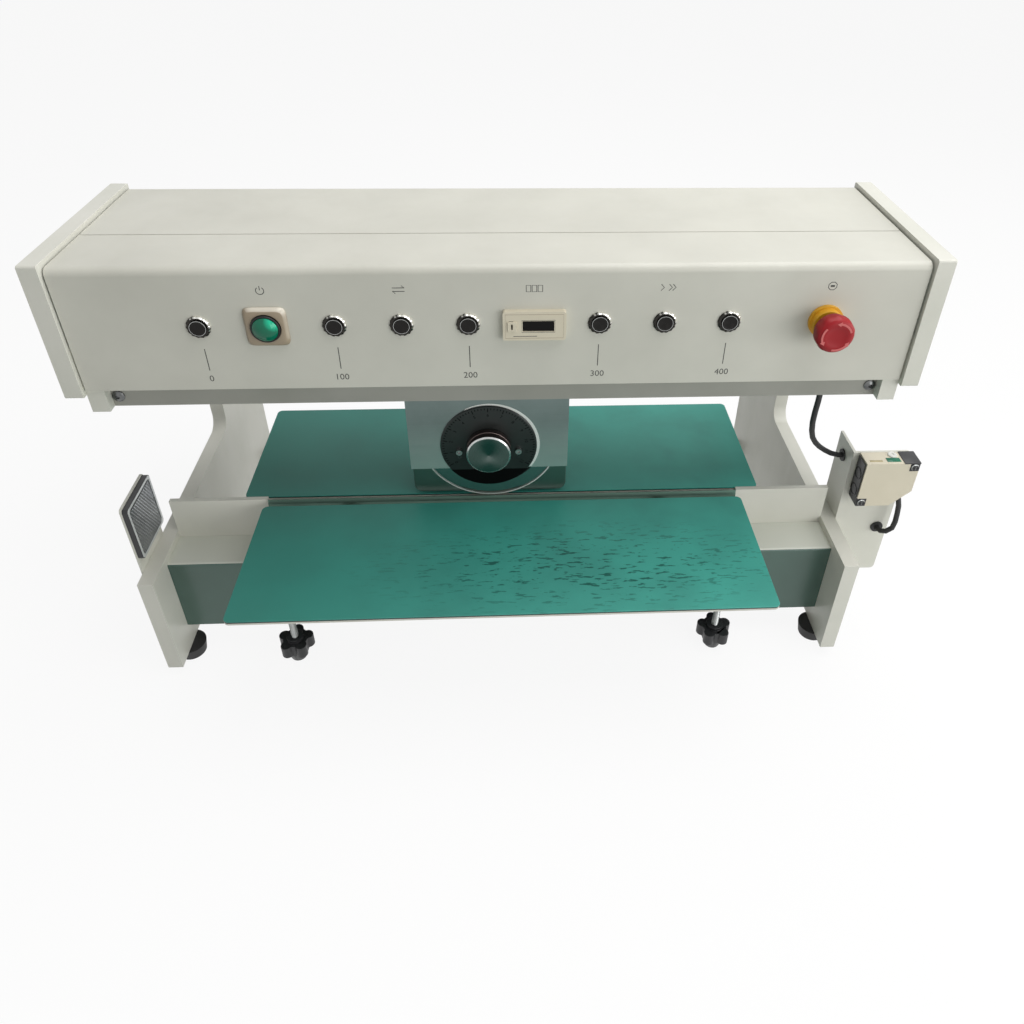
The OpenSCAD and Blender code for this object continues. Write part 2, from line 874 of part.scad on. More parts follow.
module rear_cover() {
    inlet = [inlet_x, inlet_z];
    lip_w = inner_w - 2;
    slots = 9;
    slot_pitch = 12;
    color(paint) difference() {
        union() {
            // The front sheet's section turned about to face the rear
            plate_yz(-cover_w / 2, cover_w) translate([housing_d, 0]) scale([-1, 1]) {
                bent_front(0, end_z, housing_d - seam_y - 0.4, cover_top, cover_t, cover_r);
            }
            // Step that carries the front cover along the seam
            span([-cover_w / 2 + 1, seam_y - 9, cover_top - 2 * cover_t],
                [cover_w / 2 - 1, seam_y + 6, cover_top - cover_t - run]);
            span([-cover_w / 2 + 1, seam_y + 0.4, cover_top - 2 * cover_t],
                [cover_w / 2 - 1, seam_y + 6, cover_top - cover_t]);
            span([-lip_w / 2, guide_y + guide_d + seat, end_z],
                [lip_w / 2, housing_d - cover_t / 2, end_z + cover_t]);
        }
        // Room for the upper arms
        for (side = [-1, 1]) {
            x = side > 0 ? side_x - 0.5 : -side_out - 1;
            span([x, seam_y, end_z - 1], [x + side_t + 1.5, housing_d + 1, upper_top + 0.5]);
        }
        span([inlet[0] - 13.7, housing_d - 3, inlet[1] - 10],
            [inlet[0] + 13.7, housing_d + 1, inlet[1] + 10]);
        for (s = [-1, 1]) {
            for (i = [0 : slots - 1]) {
                plate_xz(housing_d - 3, 4) {
                    x = s * 130 + (i - (slots - 1) / 2) * slot_pitch;
                    round_rect([x - 1.5, cover_z + 30], [x + 1.5, cover_z + 62], 1.4);
                }
            }
        }
    }
}

module power_inlet() {
    x = inlet_x;
    z = inlet_z;
    color(black) {
        difference() {
            union() {
                plate_xz(housing_d, 2.5) round_rect([x - 25, z - 12], [x + 25, z + 12], 3);
                span([x - 13.5, housing_d - 20, z - 9.8], [x + 13.5, housing_d, z + 9.8]);
            }
            span([x - 11.5, housing_d - 15, z - 8], [x + 11.5, housing_d + 4, z + 8]);
        }
        for (p = [[-7, -1], [0, 3], [7, -1]]) {
            span([x + p[0] - 1, housing_d - 16, z + p[1] - 2],
                [x + p[0] + 1, housing_d - 4, z + p[1] + 2]);
        }
    }
}

// Controls -------------------------------------------------------------------

module button_bezels() {
    flange_h = 2;
    color(steel) {
        for (i = button_slots) {
            turned_y(control_x(i), control_z, cover_set) difference() {
                union() {
                    polygon([
                        [0, -flange_h], [bezel_r - 1, -flange_h], [bezel_r, -flange_h + 1],
                        [bezel_r, 0], [0, 0]
                    ]);
                    rect([0, -0.5], [barrel_r, barrel_end - cover_set]);
                }
                rect([-1, -flange_h - 1], [cap_r + slide_gap, cap_end + cap_travel + 1 - cover_set]);
            }
            // Nut behind the cover
            difference() {
                translate([control_x(i), cover_in + 3, control_z]) rotate([90, 0, 0]) {
                    cylinder(h = 3, r = 11, $fn = 6);
                }
                along_y(control_x(i), control_z, cover_in - 1, cover_in + 4, barrel_r + run);
            }
        }
    }
}

// A push-button cap with a shallow dish in its face
module button_cap(i) {
    proud = 1.2;
    front = -2 - proud;
    color(black) turned_y(control_x(i), control_z, cover_set) difference() {
        rect([0, front], [cap_r, cap_end - cover_set]);
        translate([0, front - 15.4]) circle(16);
        rect([-20, -40], [0, 40]);
    }
}

module stroke_button_0() {
    button_cap(0);
}

module stroke_button_100() {
    button_cap(2);
}

module mode_button() {
    button_cap(3);
}

module stroke_button_200() {
    button_cap(4);
}

module stroke_button_300() {
    button_cap(6);
}

module speed_button() {
    button_cap(7);
}

module stroke_button_400() {
    button_cap(8);
}

module power_bezel() {
    proud = 4;
    color(beige) difference() {
        union() {
            plate_xz(cover_set - proud, proud) {
                round_rect([power_x - power_w / 2, control_z - power_w / 2],
                    [power_x + power_w / 2, control_z + power_w / 2], 3);
            }
            along_y(power_x, control_z, cover_set - proud - 2, cover_set, lens_r + 2);
            along_y(power_x, control_z, cover_set - 1, barrel_end, 11);
        }
        along_y(power_x, control_z, -20, cap_end + 4, lens_r + slide_gap);
    }
}

module power_lens() {
    front = cover_set - 7.5;
    dome_r = 14;
    color([0.05, 0.6, 0.45]) intersection() {
        along_y(power_x, control_z, front - 6, cap_end, lens_r);
        union() {
            translate([power_x, front + dome_r - 2.5, control_z]) sphere(dome_r);
            along_y(power_x, control_z, front + 2, cap_end, lens_r);
        }
    }
}

// Counter window and key as left, right, bottom and top about the middle of the bezel
counter_face = cover_set - 5;
window_box = [-9, 15, -4.5, 4.5];
key_box = [-20.5, -13.5, -4, 4];

module counter_opening(box, y0, y1, gap) {
    span([counter_x + box[0] - gap, y0, control_z + box[2] - gap],
        [counter_x + box[1] + gap, y1, control_z + box[3] + gap]);
}

module counter_body() {
    color(beige) difference() {
        union() {
            plate_xz(counter_face, cover_set - counter_face) {
                round_rect([counter_x - counter_w / 2, control_z - counter_h / 2],
                    [counter_x + counter_w / 2, control_z + counter_h / 2], 2);
            }
            span([counter_x - counter_w / 2 + 2.2, cover_set - 1, control_z - counter_h / 2 + 1.7],
                [counter_x + counter_w / 2 - 2.2, barrel_end, control_z + counter_h / 2 - 1.7]);
        }
        counter_opening(window_box, counter_face - 1, counter_face + 2.2, 0);
        counter_opening(key_box, counter_face - 1, counter_face + 7, slide_gap);
    }
}

module counter_window() {
    color(black) counter_opening(window_box, counter_face + 1.2, counter_face + 2.2, 0);
}

module counter_key() {
    color([0.9, 0.88, 0.8]) counter_opening(key_box, counter_face - 1, counter_face + 4.5, 0);
}

stop_face = cover_set - 8.3;
stop_back = stop_face - stop_travel - loose;
stop_l = 15;
stem_r = 5.5;

module stop_collar() {
    color([0.9, 0.75, 0.12]) turned_y(stop_x, control_z, 0) difference() {
        union() {
            rect([0, stop_face], [11.5, cover_set]);
            rect([0, cover_set - 3], [13.5, cover_set]);
            rect([0, cover_set - 1], [barrel_r, barrel_end]);
        }
        rect([-1, stop_face - 1], [stem_r + slide_gap, cap_end + 2]);
    }
}

module stop_stem() {
    color(black) along_y(stop_x, control_z, stop_back - 6, cap_end - stop_travel, stem_r);
}

module stop_button() {
    edge = 3;
    front = stop_back - stop_l;
    color([0.82, 0.1, 0.12]) turned_y(stop_x, control_z, 0) difference() {
        union() {
            rect([0, front + 3], [stop_r - edge, stop_back]);
            rect([0, front + 3], [stop_r, stop_back - edge]);
            translate([stop_r - edge, stop_back - edge]) circle(edge);
            intersection() {
                rect([0, front], [stop_r, front + 3.5]);
                translate([0, front + 40]) circle(40);
            }
        }
        rect([-1, stop_back - 6.1], [stem_r + run, stop_back + 1]);
        rect([-40, -90], [0, 90]);
    }
}

// Light barrier ----------------------------------------------------------------

module reflector_holder() {
    lo = [reflector_y - reflector_w / 2, arm_top - 30];
    hi = [reflector_y + reflector_w / 2, reflector_z + reflector_h / 2 + 1];
    color(paint) difference() {
        plate_yz(-holder_x - 2, 2) round_rect(lo, hi, 3);
        for (y = [-14, 14]) {
            along_x(reflector_y + y, arm_top - 14, -holder_x - 3, -holder_x + 1, 2.2);
        }
    }
    color(black) {
        for (y = [-14, 14]) {
            along_x(reflector_y + y, arm_top - 14, -holder_x - 5, -holder_x - 2, 4);
            along_x(reflector_y + y, arm_top - 14, -holder_x - 2, -holder_x, 2.15);
        }
    }
}

module reflector() {
    lo = [reflector_y - reflector_w / 2, reflector_z - reflector_h / 2];
    hi = [reflector_y + reflector_w / 2, reflector_z + reflector_h / 2];
    rim = 3;
    color([0.2, 0.2, 0.22]) difference() {
        plate_yz(-holder_x, reflector_t) round_rect(lo, hi, 3);
        plate_yz(-holder_x + reflector_t - 0.8, 2) {
            round_rect(lo + [rim, rim], hi - [rim, rim], 1);
        }
    }
}

module sensor_bracket() {
    y0 = sensor_y;
    wing_z = [arm_top - 60, flange_z[1]];
    color(paint) difference() {
        union() {
            plate_xz(y0, bracket_t) {
                rect([side_out, flange_z[0]], [flange_x - 4, flange_z[1]]);
                rect([side_out, flange_z[0] + 4], [flange_x, flange_z[1] - 4]);
                translate([flange_x - 4, flange_z[0] + 4]) circle(4);
                translate([flange_x - 4, flange_z[1] - 4]) circle(4);
            }
            plate_yz(side_out, bracket_t) rect([y0, wing_z[0]], [wing_y, wing_z[1]]);
        }
        along_y(flange_hole[0], flange_hole[2], y0 - 1, y0 + bracket_t + 1, grommet_r);
        along_x(wing_hole[1], wing_hole[2], side_out - 1, side_out + bracket_t + 1, grommet_r);
        for (z = [arm_top - 45, arm_top - 18]) {
            along_x(wing_y - 12, z, side_out - 1, side_out + bracket_t + 1, 2.7);
        }
    }
    color(black) {
        for (z = [arm_top - 45, arm_top - 18]) {
            along_x(wing_y - 12, z, side_out + bracket_t, side_out + bracket_t + 4, 4.5);
            along_x(wing_y - 12, z, side_out, side_out + bracket_t, 2.65);
        }
    }
}

corner_w = 9;
cable_cut = [18, 17];

// The two corners of the sensor that its screws pass
module sensor_corners(y0, y1) {
    x1 = sensor_x + sensor_w;
    z1 = sensor_z + sensor_w;
    span([x1 - corner_w, y0, z1 - corner_w], [x1, y1, z1]);
    span([sensor_x, y0, sensor_z], [sensor_x + corner_w, y1, sensor_z + corner_w]);
}

module sensor_body() {
    y1 = sensor_y - seat;
    y0 = y1 - sensor_d;
    color(beige) difference() {
        plate_xz(y0, sensor_d) difference() {
            rect([sensor_x, sensor_z], [sensor_x + sensor_w, sensor_z + sensor_w]);
            // The lower corner away from the lens is cut off for the cable
            translate([sensor_x + sensor_w, sensor_z]) polygon([
                [1, cable_cut[1]], [0, cable_cut[1]], [-cable_cut[0], 0], [-cable_cut[0], -1],
                [1, -1]
            ]);
        }
        sensor_corners(y0 - 1, y1 + 1);
        along_x((y0 + y1) / 2, sensor_z + 32, sensor_x - 1, sensor_x + 1, 3);
        // The hole that the cable enters by
        tube([for (i = [len(cable_route) - 5 : len(cable_route) - 1]) cable_route[i]],
            cable_r + loose, 10);
    }
}

module sensor_trim() {
    y1 = sensor_y - seat;
    y0 = y1 - sensor_d;
    color(black) {
        sensor_corners(y0, y1);
        span([sensor_x - 1.5, y0 + 1.5, sensor_z + corner_w + 1],
            [sensor_x, y1 - 1.5, sensor_z + sensor_w - 2]);
    }
    color(steel) {
        for (s = [corner_w / 2, sensor_w - corner_w / 2]) {
            along_y(sensor_x + s, sensor_z + s, y0 - 1.8, y0, 3);
        }
    }
}

// Points between the route's own by a cubic that passes through all of them
function spline_point(p0, p1, p2, p3, t) =
    0.5 * (2 * p1 + (p2 - p0) * t + (2 * p0 - 5 * p1 + 4 * p2 - p3) * t * t
    + (3 * p1 - p0 - 3 * p2 + p3) * t * t * t);
function unit(v) = v / norm(v);
function ring_axis(path, i) =
    unit(path[min(i + 1, len(path) - 1)] - path[max(i - 1, 0)]);
// Side direction of each ring, carried along so that the tube doesn't twist
function ring_sides(path, i = 0, found = []) =
    i == len(path) ? found :
    let (axis = ring_axis(path, i))
    let (last = i == 0 ? [0, 1, 0] : found[i - 1])
    ring_sides(path, i + 1, concat(found, [unit(last - axis * (last * axis))]));

module tube(path, r, sides) {
    side = ring_sides(path);
    points = [
        for (i = [0 : len(path) - 1])
            let (axis = ring_axis(path, i))
            let (up = cross(axis, side[i]))
            for (k = [0 : sides - 1])
                path[i] + r * (cos(k * 360 / sides) * side[i] + sin(k * 360 / sides) * up)
    ];
    walls = [
        for (i = [0 : len(path) - 2])
            for (k = [0 : sides - 1])
                [
                    i * sides + k, (i + 1) * sides + k,
                    (i + 1) * sides + (k + 1) % sides, i * sides + (k + 1) % sides
                ]
    ];
    first = [for (k = [0 : sides - 1]) k];
    last = [for (k = [sides - 1 : -1 : 0]) (len(path) - 1) * sides + k];
    polyhedron(points, concat(walls, [first], [last]), convexity = 8);
}

module sensor_cable() {
    color(black) tube(cable_route, cable_r, 10);
}

// A rubber ring that lines a hole in a sheet, about an axis along Z
module grommet(sheet) {
    difference() {
        union() {
            cylinder(h = sheet, r = grommet_r - run);
            translate([0, 0, -1.5]) cylinder(h = 1.5, r = grommet_r + 1.5);
            translate([0, 0, sheet]) cylinder(h = 1.5, r = grommet_r + 1.5);
        }
        translate([0, 0, -5]) cylinder(h = sheet + 10, r = cable_r + loose);
    }
}

module cable_grommets() {
    color(black) {
        translate(beam_hole) grommet(beam_wall);
        translate(wing_hole) rotate([0, 90, 0]) grommet(bracket_t);
        translate(flange_hole) rotate([-90, 0, 0]) grommet(bracket_t);
    }
}

// Carriage ---------------------------------------------------------------------

module carriage_head() {
    x0 = carriage_x - carriage_w / 2;
    x1 = carriage_x + carriage_w / 2;
    low_r = 8;
    color(alloy) difference() {
        union() {
            plate_xz(head_y, head_d) {
                rect([x0, head_z + low_r], [x1, head_top]);
                rect([x0 + low_r, head_z], [x1 - low_r, head_top]);
                for (x = [x0 + low_r, x1 - low_r]) {
                    translate([x, head_z + low_r]) circle(low_r);
                }
            }
            // Boss above the blade that carries the front plate
            span([x0, plate_back, blade_top + 2.5], [x1, head_y, head_top]);
        }
        along_y(carriage_x, axis_z, head_y - 1, head_back - 6, rear_journal_r + run);
    }
}

module carriage_front_plate() {
    x0 = carriage_x - carriage_w / 2;
    x1 = carriage_x + carriage_w / 2;
    color(alloy) difference() {
        plate_xz(plate_y, front_plate_t) rect([x0, plate_z], [x1, head_top]);
        along_y(carriage_x, axis_z, plate_y - 1, plate_back + 1, journal_r + run);
        for (s = [-1, 1]) {
            along_y(carriage_x + s * scale_screw_x, scale_screw_z, plate_y - 1,
                plate_back + 1, 1.5);
        }
    }
}

module guide_blocks() {
    z = [rail_z - block_h / 2, rail_z + block_h / 2];
    color(steel) {
        for (s = [-block_x, block_x]) {
            x = carriage_x + s - block_l / 2;
            plate_yz(x, block_l) difference() {
                rect([head_back, z[0]], [head_back + block_d, z[1]]);
                rail_section(rail_gap);
            }
        }
    }
}

module belt_clamp() {
    half = 15;
    low = pulley_z - pulley_r - belt_t;
    high = pulley_z - pulley_r;
    color(alloy) difference() {
        union() {
            span([carriage_x - half, head_back - 12, head_top],
                [carriage_x + half, head_back, high + 5.5]);
            span([carriage_x - half, head_back - 1, low - 5],
                [carriage_x + half, belt_back + 1, high + 5.5]);
        }
        span([carriage_x - half - 1, belt_y - loose, low - loose],
            [carriage_x + half + 1, belt_back + 5, high + loose]);
    }
}

module scale_plate() {
    bevel = 0.8;
    color([0.16, 0.18, 0.18]) difference() {
        turned_y(carriage_x, axis_z, scale_y) polygon([
            [journal_r + 0.6, 0], [scale_r - bevel, 0], [scale_r, bevel],
            [scale_r, scale_t], [journal_r + 0.6, scale_t]
        ]);
        // The plate ends level with the front plate
        span([carriage_x - 60, scale_y - 1, plate_z - 60],
            [carriage_x + 60, plate_y + 1, plate_z]);
        for (s = [-1, 1]) {
            along_y(carriage_x + s * scale_screw_x, scale_screw_z, scale_y - 1,
                plate_y + 1, 1.6);
        }
    }
}

module scale_screws() {
    color(steel) {
        for (s = [-1, 1]) {
            x = carriage_x + s * scale_screw_x;
            difference() {
                along_y(x, scale_screw_z, scale_y - 3, scale_y, 2.75);
                translate([x, scale_y - 1.5, scale_screw_z]) rotate([90, 0, 0]) {
                    cylinder(h = 3, r = 1.4, $fn = 6);
                }
            }
            along_y(x, scale_screw_z, scale_y, plate_back, 1.5);
        }
    }
}

module height_axle() {
    color(steel) {
        along_y(carriage_x, axis_z, knob_y + 3, plate_y + 0.5, stub_r);
        along_y(carriage_x, axis_z, scale_y - seat, plate_back + 0.3, journal_r);
        // Eccentric seat of the blade bearing
        along_y(seat_x, axis_z, plate_back + 0.3, head_y - 0.3, bearing_in);
        along_y(carriage_x, axis_z, head_y - 0.3, head_back - 6.5, rear_journal_r);
    }
}

module height_knob() {
    bevel = 1.5;
    color(steel) difference() {
        turned_y(carriage_x, axis_z, knob_y) polygon([
            [0, 0], [knob_r - bevel, 0], [knob_r, bevel], [knob_r, knob_l], [0, knob_l]
        ]);
        along_y(carriage_x, axis_z, knob_y + 3, knob_y + knob_l + 1, stub_r);
    }
}

module rotary_blade() {
    r = blade_d / 2;
    bevel = 5;
    land = 0.15;
    mid = blade_t / 2;
    color([0.8, 0.82, 0.83]) turned_y(seat_x, axis_z, blade_y) polygon([
        [hub_r + run, 0], [r - bevel, 0], [r, mid - land], [r, mid + land],
        [r - bevel, blade_t], [hub_r + run, blade_t]
    ]);
}

module blade_hub() {
    front = -flange_t;
    back = head_y - blade_y - 0.6;
    color(black) turned_y(seat_x, axis_z, blade_y) {
        rect([bearing_out, front], [hub_r, back]);
        rect([bearing_out, front], [flange_r, 0]);
    }
    // Clamp ring on the other face of the blade
    color(steel) turned_y(seat_x, axis_z, blade_y) {
        rect([hub_r + run, blade_t], [hub_r + 12, back]);
    }
}

module blade_bearing() {
    y0 = blade_y + blade_t / 2 - bearing_w / 2;
    color(steel) turned_y(seat_x, axis_z, y0) {
        rect([bearing_in + run, 0], [bearing_out, bearing_w]);
    }
}

placed() side_plate_left();
placed() side_plate_right();
placed() rubber_feet();
placed() frame_screws();
placed() base_beam();
placed() knife_bar();
placed() linear_blade();
placed() platform_plates();
placed() platform_mats();
placed() platform_supports();
placed() platform_legs();
placed() star_foot_left();
placed() star_foot_right();
placed() front_beam();
placed() guide_beam();
placed() linear_rail();
placed() belt_brackets();
placed() motor();
placed() drive_pulley();
placed() idler_pulley();
placed() drive_belt();
placed() control_electronics();
placed() end_plates();
placed() front_cover();
placed() rear_cover();
placed() power_inlet();
placed() button_bezels();
placed() stroke_button_0();
placed() stroke_button_100();
placed() stroke_button_200();
placed() stroke_button_300();
placed() stroke_button_400();
placed() mode_button();
placed() speed_button();
placed() power_bezel();
placed() power_lens();
placed() counter_body();
placed() counter_window();
placed() counter_key();
placed() stop_collar();
placed() stop_stem();
placed() stop_button();
placed() reflector_holder();
placed() reflector();
placed() sensor_bracket();
placed() sensor_body();
placed() sensor_trim();
placed() sensor_cable();
placed() cable_grommets();
placed() carriage_head();
placed() carriage_front_plate();
placed() guide_blocks();
placed() belt_clamp();
placed() scale_plate();
placed() scale_screws();
placed() height_axle();
placed() height_knob();
placed() rotary_blade();
placed() blade_hub();
placed() blade_bearing();
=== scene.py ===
"""The looks of a bench-top board separator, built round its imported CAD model.

Lengths are metres in the CAD frame: X along the straight blade, Y from the operator's side to
the rear, Z up from the ground. Sizes given in millimetres pass through MM.
"""

import json
import math

import bmesh
import bpy
from mathutils import Matrix, Vector

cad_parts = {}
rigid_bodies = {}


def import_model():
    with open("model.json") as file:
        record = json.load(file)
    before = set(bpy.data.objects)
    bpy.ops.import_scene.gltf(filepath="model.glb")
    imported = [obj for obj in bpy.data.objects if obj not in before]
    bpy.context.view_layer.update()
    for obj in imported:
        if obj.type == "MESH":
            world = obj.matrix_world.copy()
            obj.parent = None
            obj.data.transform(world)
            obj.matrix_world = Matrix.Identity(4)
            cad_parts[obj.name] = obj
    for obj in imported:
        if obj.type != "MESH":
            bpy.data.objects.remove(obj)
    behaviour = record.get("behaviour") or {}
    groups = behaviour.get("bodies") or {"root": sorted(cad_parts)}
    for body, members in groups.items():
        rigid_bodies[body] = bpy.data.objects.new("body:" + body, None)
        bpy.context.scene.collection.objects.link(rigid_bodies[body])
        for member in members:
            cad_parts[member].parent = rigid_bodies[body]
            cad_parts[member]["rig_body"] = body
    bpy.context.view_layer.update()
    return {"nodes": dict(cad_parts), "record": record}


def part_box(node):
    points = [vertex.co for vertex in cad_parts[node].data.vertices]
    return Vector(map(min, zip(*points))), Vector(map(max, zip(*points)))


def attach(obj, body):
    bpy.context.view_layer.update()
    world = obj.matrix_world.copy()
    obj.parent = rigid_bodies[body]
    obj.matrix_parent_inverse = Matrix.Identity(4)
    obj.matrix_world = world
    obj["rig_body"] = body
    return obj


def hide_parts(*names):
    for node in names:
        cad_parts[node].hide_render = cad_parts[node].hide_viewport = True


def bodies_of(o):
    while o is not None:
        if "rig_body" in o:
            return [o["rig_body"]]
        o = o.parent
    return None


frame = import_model()

MM = 0.001


def low(node):
    """The lowest corner of a CAD node at rest."""
    return Vector(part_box(node)[0])


def high(node):
    """The highest corner of a CAD node at rest."""
    return Vector(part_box(node)[1])


def middle(node):
    """The middle of a CAD node's box at rest."""
    return (low(node) + high(node)) / 2


# Camera ---------------------------------------------------------------------------

# A 28.75 mm lens on a 36 mm sensor, 1.1 m in front of the machine and looking down at it
eye = bpy.data.cameras.new("eye")
eye.sensor_width = 36
eye.lens = 28.75
eye.shift_x = -0.0369
eye.shift_y = -0.0902
camera = bpy.data.objects.new("camera", eye)
bpy.context.scene.collection.objects.link(camera)
pitch, yaw, roll = 0.60913, 0.062187, 0.019001
forward = Vector((
    math.sin(yaw) * math.cos(pitch),
    math.cos(yaw) * math.cos(pitch),
    -math.sin(pitch),
))
level_right = Vector((math.cos(yaw), -math.sin(yaw), 0))
level_up = level_right.cross(forward)
right = level_right * math.cos(roll) + level_up * math.sin(roll)
up = level_up * math.cos(roll) - level_right * math.sin(roll)
turn = Matrix((right, up, -forward)).transposed()
camera.matrix_world = Matrix.Translation((-0.01713, -0.6699, 0.66114)) @ turn.to_4x4()
bpy.context.scene.camera = camera


# Materials ------------------------------------------------------------------------

def linear(code):
    """An sRGB hex colour, such as d9dbd0, as linear red, green, blue and alpha."""
    parts = [int(code[i : i + 2], 16) / 255 for i in (0, 2, 4)]
    return tuple(
        p / 12.92 if p <= 0.04045 else ((p + 0.055) / 1.055) ** 2.4 for p in parts
    ) + (1.0,)


def feed(made, inputs):
    """Gives each named or numbered input a value, or a link from another node's output."""
    for key, value in inputs.items():
        socket = made.inputs[key]
        if isinstance(value, bpy.types.NodeSocket):
            made.id_data.links.new(value, socket)
        else:
            socket.default_value = value


def add_node(material, kind, inputs=None, **settings):
    """Adds a shader node with its own settings and inputs, and returns it."""
    made = material.node_tree.nodes.new("ShaderNode" + kind)
    for name, value in settings.items():
        setattr(made, name, value)
    feed(made, inputs or {})
    return made


def new_material(name, **inputs):
    """A Principled material; returns it and its shader."""
    material = bpy.data.materials.new(name)
    material.use_nodes = True
    shader = material.node_tree.nodes["Principled BSDF"]
    feed(shader, {key.replace("_", " "): value for key, value in inputs.items()})
    return material, shader


def place_on(material, stretch=(1, 1, 1), origin=(0, 0, 0)):
    """Object coordinates in metres about an origin, stretched along each axis."""
    coordinates = add_node(material, "TexCoord")
    shifted = add_node(material, "VectorMath", {
        0: coordinates.outputs["Object"],
        1: tuple(origin),
    }, operation="SUBTRACT")
    return add_node(material, "VectorMath", {
        0: shifted.outputs[0],
        1: tuple(stretch),
    }, operation="MULTIPLY").outputs[0]


def noise(material, place, size_mm, detail=2.0, roughness=0.5):
    """Noise whose blotches are about size_mm across."""
    return add_node(material, "TexNoise", {
        "Vector": place,
        "Scale": 1000 / size_mm,
        "Detail": detail,
        "Roughness": roughness,
    }).outputs[0]


def spread(material, value, source, target):
    """Maps the source range of a value onto the target range, clamped."""
    return add_node(material, "MapRange", {
        0: value,
        1: source[0],
        2: source[1],
        3: target[0],
        4: target[1],
    }).outputs[0]


def blend_colours(material, amount, first, second, mode="MIX"):
    """A colour between two, each a hex code or another node's colour."""
    colours = [linear(c) if isinstance(c, str) else c for c in (first, second)]
    return add_node(material, "Mix", {
        0: amount,
        6: colours[0],
        7: colours[1],
    }, data_type="RGBA", blend_type=mode).outputs[2]


def math_on(material, operation, first, second=0.0):
    """One arithmetic step on two values."""
    return add_node(material, "Math", {0: first, 1: second}, operation=operation).outputs[0]


def tint(material, amount, colour):
    """Mixes one more colour into a finished material's own."""
    shader = material.node_tree.nodes["Principled BSDF"]
    own = shader.inputs["Base Color"].links[0].from_socket
    feed(shader, {"Base Color": blend_colours(material, amount, own, colour)})
    return material


def facing(material, towards, source):
    """How squarely a face turns towards a fixed direction, mapped from source to 0..1."""
    normal = add_node(material, "NewGeometry").outputs["Normal"]
    turn = add_node(material, "VectorMath", {
        0: normal,
        1: Vector(towards).normalized()[:],
    }, operation="DOT_PRODUCT").outputs[1]
    return spread(material, turn, source, (0, 1))


def height_share(material, low_z, high_z):
    """Zero at low_z, one at high_z."""
    z = add_node(material, "SeparateXYZ", {0: place_on(material)}).outputs[2]
    return spread(material, z, (low_z, high_z), (0, 1))


def relief(material, height, depth_mm, strength=1.0):
    """A bump normal whose highest and lowest points are depth_mm apart."""
    return add_node(material, "Bump", {
        "Height": height,
        "Distance": depth_mm * MM,
        "Strength": strength,
    }).outputs[0]


def powder_coat(name, colour, shade, gloss=0.4):
    """Powder-coated sheet: a satin skin with a fine orange peel and faint hand marks."""
    material, shader = new_material(name, IOR=1.5)
    place = place_on(material)
    # The real peel is 0.5 mm, drawn at 1.4 mm so that it shows
    peel = noise(material, place, 1.4, detail=1.0)
    clouds = noise(material, place, 70, detail=4.0)
    marks = noise(material, place_on(material, (1, 1, 0.3)), 16, detail=5.0, roughness=0.65)
    tone = blend_colours(material, spread(material, clouds, (0.35, 0.7), (0, 1)), colour, shade)
    feed(shader, {
        "Base Color": tone,
        "Roughness": spread(material, marks, (0.3, 0.75), (gloss - 0.07, gloss + 0.1)),
        "Normal": relief(material, peel, 0.03, 0.5),
    })
    return material


def enamel_shade(name):
    """Light paint whose front faces are dark green-grey painted shade with a green cast: glossy
    there, so the pale arms show in it.
    """
    material, shader = new_material(name, IOR=1.5)
    place = place_on(material)
    clouds = noise(material, place, 60, detail=3.0)
    normal = add_node(material, "NewGeometry").outputs["Normal"]
    normal_y = add_node(material, "SeparateXYZ", {0: normal}).outputs[1]
    towards_front = math_on(material, "MULTIPLY", normal_y, -1.0)
    faces_front = math_on(material, "GREATER_THAN", towards_front, 0.7)
    # The dark green-grey on front faces is painted shade, not the paint's own colour
    dark = blend_colours(material, clouds, "445a52", "4e6a60")
    feed(shader, {
        "Base Color": blend_colours(material, faces_front, "cfd1c6", dark),
        "Roughness": spread(material, faces_front, (0, 1), (0.42, 0.26)),
        "Normal": relief(material, noise(material, place, 1.6, 1.0), 0.03, 0.4),
    })
    return material


def bench_mat(name):
    """Two-layer antistatic rubber mat: a teal face that pales to the right, which is painted
    light, smeared by use, over a black conductive backing that shows as a dark line round the
    edge."""
    material, shader = new_material(name, IOR=1.5)
    place = place_on(material)
    top = high("platform_mats").z
    front = low("platform_mats")
    height = add_node(material, "SeparateXYZ", {0: place}).outputs
    # The teal pales from left to right: painted light from the lamps on the right
    across = spread(material, height[0], (-0.24, 0.22), (0, 1))
    teal = blend_colours(material, across, "2a7a6e", "3fa596")
    clouds = noise(material, place, 50, detail=5.0)
    teal = blend_colours(material, spread(material, clouds, (0.4, 0.75), (0, 0.4)), teal, "286d63")
    # Smears that a wiped panel leaves, long in X and thin in Y
    smear = noise(material, place_on(material, (1, 4.5, 1)), 12, detail=3.0, roughness=0.6)
    centre = Vector((0.045, front.y + 0.052, top))
    reach = add_node(material, "VectorMath", {
        0: place_on(material, (1 / 0.17, 1 / 0.05, 0), centre),
    }, operation="LENGTH").outputs[1]
    where = spread(material, reach, (0.5, 1.25), (1, 0))
    thin = spread(material, smear, (0.585, 0.615), (0, 1))
    smeared = math_on(material, "MULTIPLY", thin, where)
    face = blend_colours(material, math_on(material, "MULTIPLY", smeared, 0.8), teal, "174a42")
    is_face = math_on(material, "GREATER_THAN", height[2], top - 0.9 * MM)
    leather = noise(material, place, 0.9, detail=2.0)
    feed(shader, {
        "Base Color": blend_colours(material, is_face, "151716", face),
        "Roughness": spread(material, smeared, (0, 1), (0.5, 0.3)),
        "Normal": relief(material, leather, 0.02, 0.35),
    })
    return material


